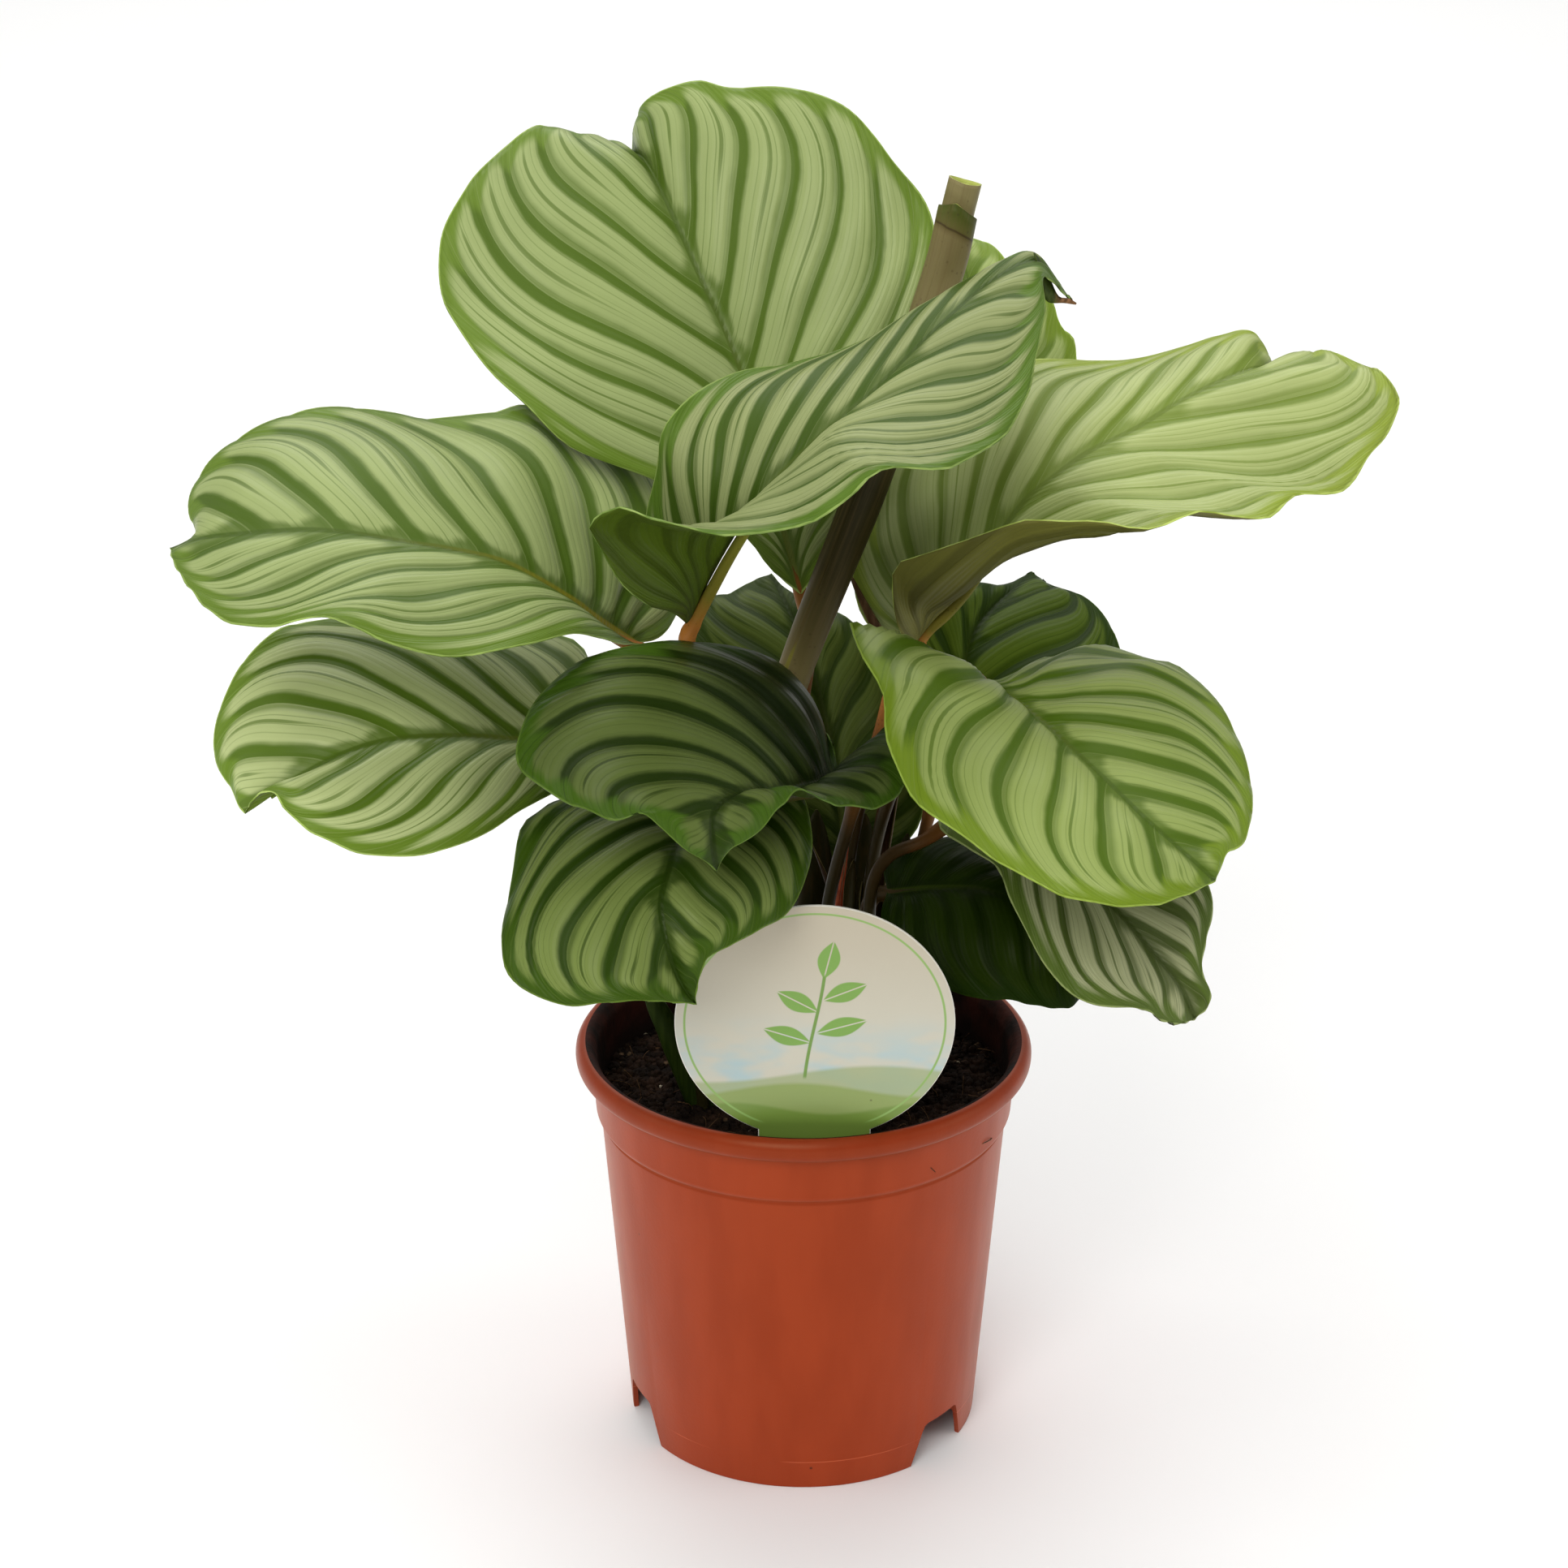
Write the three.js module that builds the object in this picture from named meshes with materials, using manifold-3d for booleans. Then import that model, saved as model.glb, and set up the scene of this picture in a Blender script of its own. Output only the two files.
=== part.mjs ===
// Potted calathea orbifolia: thirteen striped leaves on petioles, a cut stem, soil, a label and the pot.
// Millimetres, +Z up. The origin is on the surface that the pot stands on, at the pot's axis.
// -Y is the front, where the label stands, and +X is to its right.
import * as THREE from 'three';
import { mergeVertices } from 'three/addons/utils/BufferGeometryUtils.js';
import Module from 'manifold-3d';

const wasm = await Module();
wasm.setup();

// Driving dimensions
const POT = {
  lipRadius: 70,        // a 14 cm nursery pot
  lipTop: 128,
  bodyTopRadius: 62,
  bodyTop: 98,          // the collar steps out here
  collarRadius: 63.6,
  mouthRadius: 65,      // under the lip
  baseRadius: 54.3,
  wall: 1.6,
  floorUnderside: 10,   // the floor is raised inside the skirt
  sides: 48,
};
const NOTCH = { height: 14, baseWidth: 25.6, topWidth: 17, azimuths: [51, -68, 172] };   // from the front
const SOIL = { level: 110, bump: 1.6, rings: 7, clearance: 0.3 };
const LABEL = { radius: 41, thickness: 1, bottom: [3, -58, 120], lean: 5.6, tabWidth: 33, tabDepth: 34 };
const BLADE = {
  thickness: 0.7, veins: 22, crowding: 1.25, bow: 0.16, rib: 1.3, pleat: 0.45, fullPleat: 30, evenRadius: 8,
};
const ACROSS = [0, 0.07, 0.4, 0.72, 1];   // places along a vein, from midrib to margin
const PETIOLE = { rootRadius: 2.7, topRadius: 1.9, sides: 6, steps: 9, sink: 14, underBlade: 1.5, neck: 9 };
const GAP = 0.3;                          // between pieces that touch

// Every leaf has its midrib from base to tip, and the left and right margins between them,
// as seen with the tip pointing away. bulge is how far each half stands up from a straight
// vein at base, middle and tip; ripple is the margin's waves: height, count and start.
// root is where its petiole stands in the soil, and via bends the petiole on its way up.
const LEAVES = [
  {
    name: 'top',
    midrib: [[-1, 17, 266], [-10, 22, 300], [-19, 31, 332], [-31, 42, 357], [-41, 55, 376],
      [-47, 68, 384], [-52, 84, 383]],
    left: [[-10, 16, 274], [-17, 12, 285], [-31, 4, 299], [-45, -3, 309], [-68, -8, 320],
      [-81, -5, 332], [-97, 4, 348], [-105, 17, 361], [-105, 27, 372], [-98, 39, 384], [-88, 52, 392],
      [-79, 60, 397], [-69, 70, 393], [-59, 80, 388]],
    right: [[5, 18, 274], [16, 16, 297], [28, 20, 326], [35, 27, 348], [38, 36, 371], [35, 42, 379],
      [27, 46, 388], [21, 52, 395], [10, 58, 404], [-7, 62, 408], [-22, 66, 407], [-32, 70, 408],
      [-46, 76, 401], [-50, 82, 393]],
    bulge: [[0.05, 0.08, 0.05], [0.05, 0.08, 0.05]], ripple: [[1, 3, 0.1], [1.5, 3, 0.4]],
    root: [-8, 14], via: [[-5, 18, 180]],
  },
  {
    name: 'front_high',
    midrib: [[-34, -26, 273], [-28, -38, 289], [-20, -54, 309], [-10, -62, 326], [4, -60, 340],
      [18, -52, 350], [36, -38, 364], [52, -22, 373], [65, -10, 375], [76, 0, 360]],
    left: [[-40, -20, 277], [-44, -20, 287], [-46, -24, 298], [-45, -30, 308], [-42, -36, 321],
      [-38, -38, 337], [-21, -24, 346], [-2, -15, 348], [18, -10, 352], [34, -8, 361], [45, -6, 367],
      [55, -5, 373], [63, -3, 376], [71, -2, 367]],
    right: [[-39, -43, 283], [-45, -56, 290], [-51, -64, 299], [-55, -72, 310], [-58, -80, 321],
      [-49, -88, 328], [-42, -94, 327], [-34, -98, 327], [-26, -102, 327], [-17, -106, 328],
      [-9, -107, 329], [1, -108, 332], [10, -110, 339], [17, -110, 345], [24, -106, 345],
      [33, -102, 343], [43, -92, 343], [51, -82, 345], [59, -66, 352], [63, -48, 360], [66, -32, 367],
      [66, -18, 372]],
    bulge: [[0, 0.1, 0.1], [0, 0.06, 0.1]], ripple: [[1, 3, 0.1], [1, 3, 0.4]],
    root: [-24, -4], via: [[-30, -8, 190]],
  },
  {
    name: 'left_high',
    midrib: [[-48, -22, 265], [-57, -34, 276], [-66, -48, 289], [-83, -66, 306], [-95, -74, 312],
      [-108, -79, 316], [-129, -84, 321], [-151, -84, 320], [-164, -80, 317], [-172, -76, 313]],
    left: [[-52, -36, 270], [-58, -54, 279], [-65, -76, 288], [-77, -98, 293], [-90, -110, 295],
      [-101, -116, 298], [-111, -118, 302], [-119, -118, 307], [-126, -116, 308], [-135, -114, 306],
      [-144, -110, 303], [-155, -106, 304], [-164, -95, 308], [-170, -84, 312]],
    right: [[-43, -10, 262], [-39, -2, 264], [-34, 10, 274], [-37, 16, 295], [-50, 16, 310],
      [-69, 10, 321], [-80, 2, 329], [-88, -7, 330], [-99, -16, 331], [-108, -23, 333],
      [-116, -28, 336], [-127, -32, 339], [-140, -36, 339], [-155, -45, 335], [-164, -52, 329],
      [-168, -58, 323], [-168, -64, 317], [-165, -70, 314]],
    bulge: [[0.04, 0.05, 0.05], [0.06, 0.08, 0.08]], ripple: [[0, 3, 0.1], [0, 3, 0.4]],
    root: [-34, 4], via: [[-37, 0, 190]],
  },
  {
    name: 'left_low',
    midrib: [[-60, -25, 235], [-70, -38, 241], [-82, -50, 247], [-98, -65, 254], [-115, -78, 258],
      [-127, -86, 257], [-140, -90, 251], [-150, -90, 244], [-154, -90, 241]],
    left: [[-61, -35, 231], [-70, -50, 231], [-80, -70, 233], [-88, -85, 233], [-100, -100, 234],
      [-115, -108, 236], [-128, -110, 241], [-139, -106, 247], [-144, -100, 251], [-148, -96, 250],
      [-152, -92, 245]],
    right: [[-59, -10, 238], [-62, 5, 245], [-66, 8, 253], [-72, 5, 257], [-84, 0, 261],
      [-102, -10, 267], [-119, -20, 273], [-136, -35, 277], [-148, -45, 278], [-157, -55, 272],
      [-161, -62, 266], [-164, -70, 257], [-163, -76, 250], [-158, -82, 244], [-156, -87, 242]],
    bulge: [[0.06, 0.1, 0.08], [0.06, 0.1, 0.08]], ripple: [[0, 3, 0.1], [0, 3, 0.4]],
    root: [-31, -14], via: [[-42, -18, 180]],
  },
  {
    name: 'front_cupped',
    midrib: [[10, -45, 233], [2, -58, 236], [-7, -75, 241], [-16, -92, 248], [-22, -104, 251],
      [-25, -112, 250], [-25, -116, 243], [-24, -114, 234]],
    left: [[19, -42, 239], [23, -36, 243], [26, -34, 247], [28, -40, 245], [29, -52, 239],
      [26, -62, 234], [19, -72, 235], [11, -80, 239], [5, -86, 243], [-1, -92, 249], [-7, -102, 248],
      [-13, -110, 244], [-21, -114, 240]],
    right: [[8, -34, 238], [5, -20, 239], [2, -9, 242], [-2, -6, 248], [-11, -12, 257], [-23, -21, 264],
      [-36, -33, 270], [-50, -46, 273], [-61, -57, 274], [-70, -68, 271], [-76, -80, 267],
      [-79, -92, 260], [-76, -100, 257], [-68, -108, 254], [-60, -114, 253], [-52, -118, 251],
      [-44, -118, 253], [-39, -118, 249], [-33, -118, 243], [-27, -116, 238]],
    bulge: [[0, 0.06, 0.06], [0.04, 0.13, 0.08]], ripple: [[0, 3, 0.1], [0, 3, 0.4]],
    root: [4, -12], via: [[7, -20, 180]],
  },
  {
    name: 'right_middle',
    midrib: [[52, -25, 255], [60, -38, 254], [68, -52, 252], [76, -66, 249], [85, -78, 244],
      [93, -88, 239], [102, -95, 233], [108, -100, 229], [112, -100, 225]],
    left: [[57, -20, 253], [64, -10, 252], [71, 0, 252], [80, 2, 252], [89, 5, 254], [94, 3, 253],
      [102, -2, 252], [109, -8, 253], [119, -20, 247], [124, -38, 242], [126, -55, 236],
      [125, -70, 233], [121, -84, 229], [116, -92, 230]],
    right: [[45, -25, 255], [33, -28, 259], [20, -30, 265], [13, -28, 274], [15, -42, 270],
      [19, -52, 267], [22, -58, 264], [22, -70, 255], [26, -80, 248], [30, -88, 244], [44, -102, 238],
      [64, -115, 230], [76, -118, 227], [92, -116, 225], [102, -110, 225]],
    bulge: [[0.05, 0.09, 0.06], [0.05, 0.1, 0.08]], ripple: [[0, 3, 0.1], [0, 3, 0.4]],
    root: [20, 5], via: [[20, 7, 175], [27, 2, 210]],
  },
  {
    name: 'right_high',
    midrib: [[31, 15, 250], [36, 9, 259], [43, 3, 269], [53, 0, 285], [64, 1, 301], [73, 3, 308],
      [82, 8, 313], [97, 16, 318], [109, 24, 323], [122, 32, 327], [134, 42, 328], [142, 55, 322]],
    left: [[25, 18, 250], [17, 16, 260], [14, 15, 275], [14, 20, 288], [23, 35, 303], [39, 45, 315],
      [56, 50, 325], [72, 52, 328], [85, 50, 328], [99, 52, 328], [114, 55, 331], [124, 56, 334],
      [134, 58, 335], [138, 58, 331]],
    right: [[31, 1, 254], [26, -10, 270], [26, -15, 286], [34, -22, 292], [47, -28, 299],
      [61, -32, 306], [72, -34, 306], [83, -34, 306], [94, -34, 304], [102, -31, 305], [111, -28, 307],
      [122, -24, 304], [132, -18, 302], [141, -8, 305], [153, 0, 303], [159, 6, 304], [166, 16, 310],
      [173, 26, 315], [176, 34, 321], [171, 44, 327], [167, 48, 327], [156, 54, 330], [149, 57, 325]],
    bulge: [[0.04, 0.07, 0.06], [-0.3, 0, 0.06]], ripple: [[0, 3, 0.1], [0, 3, 0.4]],
    root: [9, 7], via: [[15, 10, 190]],
  },
  {
    name: 'back_high',
    midrib: [[39, 38, 266], [45, 48, 289], [49, 62, 310], [51, 80, 328], [50, 98, 341], [46, 116, 350]],
    left: [[29, 42, 270], [20, 50, 288], [16, 62, 308], [19, 78, 326], [29, 95, 340], [39, 109, 348]],
    right: [[50, 34, 271], [67, 40, 284], [78, 50, 304], [83, 62, 317], [83, 70, 323], [82, 76, 328],
      [80, 77, 329], [78, 79, 332], [76, 84, 337], [71, 92, 341], [64, 99, 344], [59, 107, 348],
      [52, 113, 349]],
    bulge: [[0.08, 0.1, 0.08], [0.08, 0.1, 0.08]], ripple: [[1, 3, 0.1], [0, 3, 0.4]],
    root: [15, 17], via: [[26, 20, 195]],
  },
  {
    name: 'back_right',
    midrib: [[43, 30, 209], [49, 44, 226], [53, 60, 237], [60, 74, 241], [67, 86, 243], [73, 98, 244]],
    left: [[35, 34, 215], [31, 46, 229], [35, 60, 240], [44, 72, 247], [55, 82, 246], [62, 88, 243],
      [67, 94, 242]],
    right: [[59, 24, 206], [79, 26, 208], [96, 36, 217], [100, 50, 225], [99, 60, 230], [96, 72, 236],
      [89, 82, 241], [78, 92, 242]],
    bulge: [[0.08, 0.1, 0.08], [0.08, 0.1, 0.08]], ripple: [[0, 3, 0.1], [0, 3, 0.4]],
    root: [27, 13], via: [[33, 20, 165]],
  },
  {
    name: 'front_low',
    midrib: [[-23, -45, 226], [-30, -62, 226], [-36, -78, 226], [-38, -88, 223], [-40, -96, 217],
      [-39, -101, 210], [-36, -104, 200], [-33, -105, 194], [-30, -105, 190]],
    left: [[-14, -38, 228], [-6, -42, 228], [-1, -48, 229], [2, -62, 220], [0, -74, 214],
      [-5, -86, 209], [-12, -94, 208], [-20, -100, 206], [-27, -103, 203], [-29, -104, 198],
      [-30, -105, 194]],
    right: [[-31, -35, 222], [-45, -30, 220], [-59, -38, 223], [-70, -46, 226], [-75, -54, 227],
      [-80, -62, 225], [-82, -78, 216], [-84, -98, 205], [-82, -104, 199], [-74, -110, 195],
      [-64, -114, 194], [-54, -116, 196], [-45, -115, 196], [-36, -110, 193]],
    bulge: [[0.08, 0.16, 0.1], [0.08, 0.15, 0.1]], ripple: [[0, 3, 0.1], [0, 3, 0.4]],
    root: [-12, -13], via: [[-14, -20, 170]],
  },
  {
    name: 'right_low',
    midrib: [[54, -18, 208], [70, -38, 205], [87, -55, 198], [99, -64, 187], [107, -68, 178],
      [112, -68, 167]],
    left: [[72, -10, 207], [93, -20, 209], [108, -35, 208], [117, -48, 199], [117, -55, 193],
      [115, -60, 188], [114, -64, 180], [116, -66, 176], [116, -68, 172]],
    right: [[45, -20, 209], [39, -25, 210], [48, -36, 206], [56, -45, 204], [59, -54, 198],
      [64, -64, 191], [69, -72, 185], [76, -80, 180], [86, -80, 177], [97, -76, 174], [101, -74, 170],
      [107, -71, 167]],
    bulge: [[0.06, 0.12, 0.08], [0.06, 0.14, 0.08]], ripple: [[0, 3, 0.1], [0, 3, 0.4]],
    root: [24, -16], via: [[20, -17, 185], [25, -18, 196], [35, -18, 201]],
  },
  {
    name: 'right_inner',
    midrib: [[25, -12, 182], [38, -24, 189], [53, -34, 193], [66, -44, 191], [75, -50, 182],
      [81, -52, 167]],
    left: [[24, -6, 186], [28, 0, 190], [39, 0, 194], [53, -3, 195], [68, -10, 191], [79, -24, 184],
      [84, -38, 175]],
    right: [[23, -18, 178], [24, -26, 172], [31, -38, 168], [38, -44, 167], [44, -50, 167],
      [52, -55, 167], [58, -57, 168], [70, -58, 166], [77, -56, 165]],
    bulge: [[0.06, 0.12, 0.08], [0.06, 0.14, 0.08]], ripple: [[0, 3, 0.1], [0, 3, 0.4]],
    root: [17, -5], via: [[17, -6, 155]],
  },
  {
    name: 'back_low',
    midrib: [[13, 27, 173], [12, 34, 185], [9, 46, 202], [4, 60, 220], [-3, 77, 235], [-10, 96, 244]],
    left: [[3, 29, 174], [-9, 34, 185], [-19, 42, 201], [-29, 52, 218], [-34, 64, 233], [-32, 78, 241],
      [-23, 86, 241], [-15, 93, 243]],
    right: [[23, 26, 175], [35, 28, 185], [38, 34, 199], [34, 46, 214], [25, 60, 230], [15, 72, 237],
      [8, 80, 238], [-1, 88, 239], [-6, 92, 241]],
    bulge: [[0.08, 0.1, 0.08], [0.08, 0.1, 0.08]], ripple: [[0, 3, 0.1], [0, 3, 0.4]],
    root: [4, 22], via: [[8, 21, 140]],
  },
];

// The cut stem: a sheath rolled around a core, which stands out at the top where it was cut.
const STEM = {
  path: [[-24, 11, 97], [-24, 11, 116], [-18, 8, 190], [-4, 4, 243], [19, 2, 307], [42, 5, 385],
    [45, 6, 394]],
  sheathRadii: [5, 5, 5.2, 5.5, 6.8, 5.8, 5.6],
  coreRadius: 4.3,
  sheathShare: 0.965,   // of the path's length
  steps: 16,
  sides: 12,
};

const COLORS = {
  pot: 0x9c4022, soil: 0x2b1d14, label: 0xe8e4d6, sheath: 0x4a3b2c, core: 0xa8a46a,
  blade: 0x6f8f45, petiole: 0x6b4a24,
};

const deg = THREE.MathUtils.degToRad;
const vec = (p) => new THREE.Vector3(...p);

// Geometry and booleans

function fromTriangles(points, triangles) {
  const geometry = new THREE.BufferGeometry();
  const places = points.flatMap((p) => [p.x, p.y, p.z]);
  geometry.setAttribute('position', new THREE.Float32BufferAttribute(places, 3));
  geometry.setIndex(triangles.flat());
  return geometry;
}

function toSolid(geometry) {
  const bare = geometry.clone();
  bare.deleteAttribute('normal');
  bare.deleteAttribute('uv');
  const merged = mergeVertices(bare, 1e-4);
  return new wasm.Manifold(new wasm.Mesh({
    numProp: 3,
    vertProperties: new Float32Array(merged.attributes.position.array),
    triVerts: new Uint32Array(merged.index.array),
  }));
}

function toGeometry(solid) {
  const { vertProperties, triVerts } = solid.getMesh();
  const geometry = new THREE.BufferGeometry();
  geometry.setAttribute('position', new THREE.Float32BufferAttribute(vertProperties, 3));
  geometry.setIndex(new THREE.Uint32BufferAttribute(triVerts, 1));
  return geometry;
}

function standUp(latheGeometry) {
  return latheGeometry.rotateX(Math.PI / 2);   // the lathe turns about Y
}

function smoothCurve(points) {
  const places = points.map((p) => (p.isVector3 ? p : vec(p)));
  const curve = new THREE.CatmullRomCurve3(places, false, 'centripetal');
  curve.arcLengthDivisions = 400;
  return curve;
}

// Rings of points around a path, closed at both ends. radiusAt gives the radius at a share of its length.
function tube(path, radiusAt, { sides, steps, from = 0, to = 1 }) {
  const curve = smoothCurve(path);
  const points = [];
  const triangles = [];
  let side = new THREE.Vector3(1, 0, 0);
  for (let i = 0; i <= steps; i += 1) {
    const share = THREE.MathUtils.lerp(from, to, i / steps);
    const along = curve.getTangentAt(share);
    side = side.clone().addScaledVector(along, -side.dot(along)).normalize();
    const up = along.clone().cross(side);
    const centre = curve.getPointAt(share);
    for (let k = 0; k < sides; k += 1) {
      const angle = (2 * Math.PI * k) / sides;
      points.push(centre.clone()
        .addScaledVector(side, radiusAt(share) * Math.cos(angle))
        .addScaledVector(up, radiusAt(share) * Math.sin(angle)));
    }
  }
  for (let i = 0; i < steps; i += 1) {
    for (let k = 0; k < sides; k += 1) {
      const next = (k + 1) % sides;
      const [a, b, c, d] = [i * sides + k, i * sides + next, (i + 1) * sides + next, (i + 1) * sides + k];
      triangles.push([a, b, c], [a, c, d]);
    }
  }
  const last = steps * sides;
  for (let k = 1; k < sides - 1; k += 1) {
    triangles.push([0, k + 1, k], [last, last + k, last + k + 1]);
  }
  return fromTriangles(points, triangles);
}

// A value given at the base, middle and tip, read between them.
function between([base, middle, tip], share) {
  return share < 0.5
    ? THREE.MathUtils.lerp(base, middle, share * 2)
    : THREE.MathUtils.lerp(middle, tip, share * 2 - 1);
}

// Leaves

// The upper face: vein i leaves the midrib at a share that crowds towards the base and meets the
// margin at i / veins of its length. Returns rows of points, one for each vein, for both halves.
function bladeRows(leaf) {
  const midrib = smoothCurve(leaf.midrib);
  const base = leaf.midrib[0];
  const tip = leaf.midrib[leaf.midrib.length - 1];
  return [leaf.left, leaf.right].map((margin, half) => {
    const hand = half === 0 ? -1 : 1;
    const edge = smoothCurve([base, ...margin, tip]);
    const [height, waves, start] = leaf.ripple[half];
    const rows = [];
    for (let i = 1; i < BLADE.veins; i += 1) {
      const share = i / BLADE.veins;
      const fullness = Math.sqrt(Math.sin(Math.PI * share));
      const root = midrib.getPointAt(share ** BLADE.crowding);
      const along = midrib.getTangentAt(share ** BLADE.crowding);
      const end = edge.getPointAt(share);
      const reach = end.clone().sub(root);
      const length = reach.length();
      const outward = reach.clone().normalize();
      const normal = outward.clone().multiplyScalar(hand).cross(along).normalize();
      const forward = along.clone().addScaledVector(outward, -along.dot(outward));
      const arch = length * Math.min(1, 4 * share);   // the first veins are nearly straight
      const control = root.clone().addScaledVector(reach, 0.5)
        .addScaledVector(forward, -BLADE.bow * arch)
        .addScaledVector(normal, 2 * between(leaf.bulge[half], share) * arch);
      const vein = new THREE.QuadraticBezierCurve3(root, control, end);
      rows.push(ACROSS.map((t) => {
        const wave = height * t ** 2.5 * Math.sin(2 * Math.PI * (waves * share + start)) * fullness;
        const pleat = BLADE.pleat * (i % 2 ? 1 : -1) * Math.sin(Math.PI * t)
          * Math.min(1, length / BLADE.fullPleat);
        return vein.getPoint(t).addScaledVector(normal, wave + pleat);
      }));
    }
    return rows;
  });
}

// One blade: the upper face, the same face again one thickness below it, and the rim between them.
function makeBlade(leaf) {
  const halves = bladeRows(leaf);
  const columns = ACROSS.length;
  const points = [vec(leaf.midrib[0]), vec(leaf.midrib[leaf.midrib.length - 1])];
  const index = (half, i, j) => {
    if (i === 0) return 0;
    if (i === BLADE.veins) return 1;
    const row = 2 + (i - 1) * (2 * columns - 1);
    return j === 0 ? row : row + j + half * (columns - 1);
  };
  for (let i = 1; i < BLADE.veins; i += 1) {
    points.push(halves[0][i - 1][0]);
    for (const half of halves) points.push(...half[i - 1].slice(1));
  }
  const upper = [];
  const rim = [];
  const count = points.length;
  for (let i = 0; i < BLADE.veins; i += 1) {
    for (const half of [0, 1]) {
      for (let j = 0; j < columns - 1; j += 1) {
        const [a, b] = [index(half, i, j), index(half, i + 1, j)];
        const [c, d] = [index(half, i + 1, j + 1), index(half, i, j + 1)];
        upper.push(...(half ? [[a, d, b], [b, d, c]] : [[a, b, d], [b, c, d]]));
      }
      const [c, d] = [index(half, i + 1, columns - 1), index(half, i, columns - 1)];
      const [from, to] = half ? [c, d] : [d, c];
      rim.push([from, to, to + count], [from, to + count, from + count]);
    }
  }
  const facets = upper.filter(([a, b, c]) => a !== b && b !== c && c !== a);
  const normals = points.map(() => new THREE.Vector3());
  for (const [a, b, c] of facets) {
    const facing = points[b].clone().sub(points[a]).cross(points[c].clone().sub(points[a]));
    for (const k of [a, b, c]) normals[k].add(facing);
  }
  evenOut(points, normals);
  const lower = points.map((point, k) => {
    const onMidrib = k > 1 && (k - 2) % (2 * columns - 1) === 0;
    const share = onMidrib ? (1 + (k - 2) / (2 * columns - 1)) / BLADE.veins : 0;
    const rib = onMidrib ? BLADE.rib * THREE.MathUtils.smoothstep(share, 0.2, 0.35) * (1 - share) : 0;
    return point.clone().addScaledVector(normals[k], -BLADE.thickness - rib);
  });
  const underside = facets.map(([a, b, c]) => [a + count, c + count, b + count]);
  return fromTriangles([...points, ...lower], [...facets, ...underside, ...rim]);
}

// Close to the base and the tip, where the veins meet, the facets' normals turn to one direction.
function evenOut(points, normals) {
  for (const end of [0, 1]) {
    const nearby = normals.filter((_, k) => points[k].distanceTo(points[end]) < BLADE.evenRadius);
    const mean = nearby.reduce((sum, n) => sum.add(n), new THREE.Vector3()).normalize();
    normals.forEach((normal, k) => {
      const share = Math.min(1, points[k].distanceTo(points[end]) / BLADE.evenRadius);
      normal.normalize().lerp(mean, 1 - share).normalize();
    });
  }
}

// The petiole stands in the soil, rises through its bend and ends close under the blade's base.
function petiolePath(leaf) {
  const base = vec(leaf.midrib[0]);
  const along = smoothCurve(leaf.midrib).getTangentAt(0);
  const across = vec(leaf.right[1]).sub(vec(leaf.left[1]));
  const below = along.clone().cross(across).normalize();
  const offset = BLADE.thickness + GAP + PETIOLE.topRadius;
  const seat = base.clone().addScaledVector(along, PETIOLE.underBlade).addScaledVector(below, offset);
  const neck = base.clone().addScaledVector(along, -PETIOLE.neck).addScaledVector(below, offset + 1);
  const [x, y] = leaf.root;
  return [[x, y, SOIL.level - PETIOLE.sink], [x, y, SOIL.level + 6], ...leaf.via, neck, seat];
}

function makePetiole(path) {
  const { rootRadius, topRadius } = PETIOLE;
  const radiusAt = (share) => THREE.MathUtils.lerp(rootRadius, topRadius, Math.min(1, share * 2));
  return tube(path, radiusAt, PETIOLE);
}

// The cut stem

function makeStem() {
  const radiusAt = (share) => {
    const place = share * (STEM.sheathRadii.length - 1);
    const k = Math.min(Math.floor(place), STEM.sheathRadii.length - 2);
    return THREE.MathUtils.lerp(STEM.sheathRadii[k], STEM.sheathRadii[k + 1], place - k);
  };
  const size = { sides: STEM.sides, steps: STEM.steps };
  const core = tube(STEM.path, () => STEM.coreRadius, size);
  const bore = tube(STEM.path, () => STEM.coreRadius + GAP, size);
  const outside = tube(STEM.path, radiusAt, { ...size, from: 0.002, to: STEM.sheathShare });
  return { core, sheath: toGeometry(toSolid(outside).subtract(toSolid(bore))) };
}

// Pot, soil and label

// The wall's outside from bottom to top, its inside from top to floor, and the skirt's inside.
function potProfile() {
  const { baseRadius, bodyTopRadius, bodyTop, wall, floorUnderside, lipRadius, lipTop } = POT;
  const { collarRadius, mouthRadius } = POT;
  const bodyRadius = (z) => THREE.MathUtils.lerp(baseRadius, bodyTopRadius, z / bodyTop);
  const rolledLip = [[1.5, 7.4], [0, 5.4], [0, 2.6], [1.2, 0.6], [3, 0], [4.8, 0.8]]   // inward, down
    .map(([inward, down]) => [lipRadius - inward, lipTop - down]);
  const outside = [[bodyRadius(0), 0], [bodyTopRadius, bodyTop], [collarRadius, bodyTop + 2],
    [mouthRadius, lipTop - 8], ...rolledLip];
  const inside = [[mouthRadius - wall, lipTop - 4], [collarRadius - wall, bodyTop + 2],
    [bodyTopRadius - wall, bodyTop],
    [bodyRadius(floorUnderside + wall) - wall, floorUnderside + wall]];
  const under = [[bodyRadius(floorUnderside) - wall, floorUnderside], [bodyRadius(0) - wall, 0]];
  return { outside, inside, under };
}

function makePot() {
  const { outside, inside, under } = potProfile();
  const floorTop = POT.floorUnderside + POT.wall;
  const section = [[0, POT.floorUnderside], ...under, ...outside, ...inside, [0, floorTop]];
  const shell = new THREE.LatheGeometry(section.map(([r, z]) => new THREE.Vector2(r, z)), POT.sides);
  let solid = toSolid(standUp(shell));
  for (const azimuth of NOTCH.azimuths) solid = solid.subtract(toSolid(notchCutter(azimuth)));
  return toGeometry(solid);
}

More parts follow.
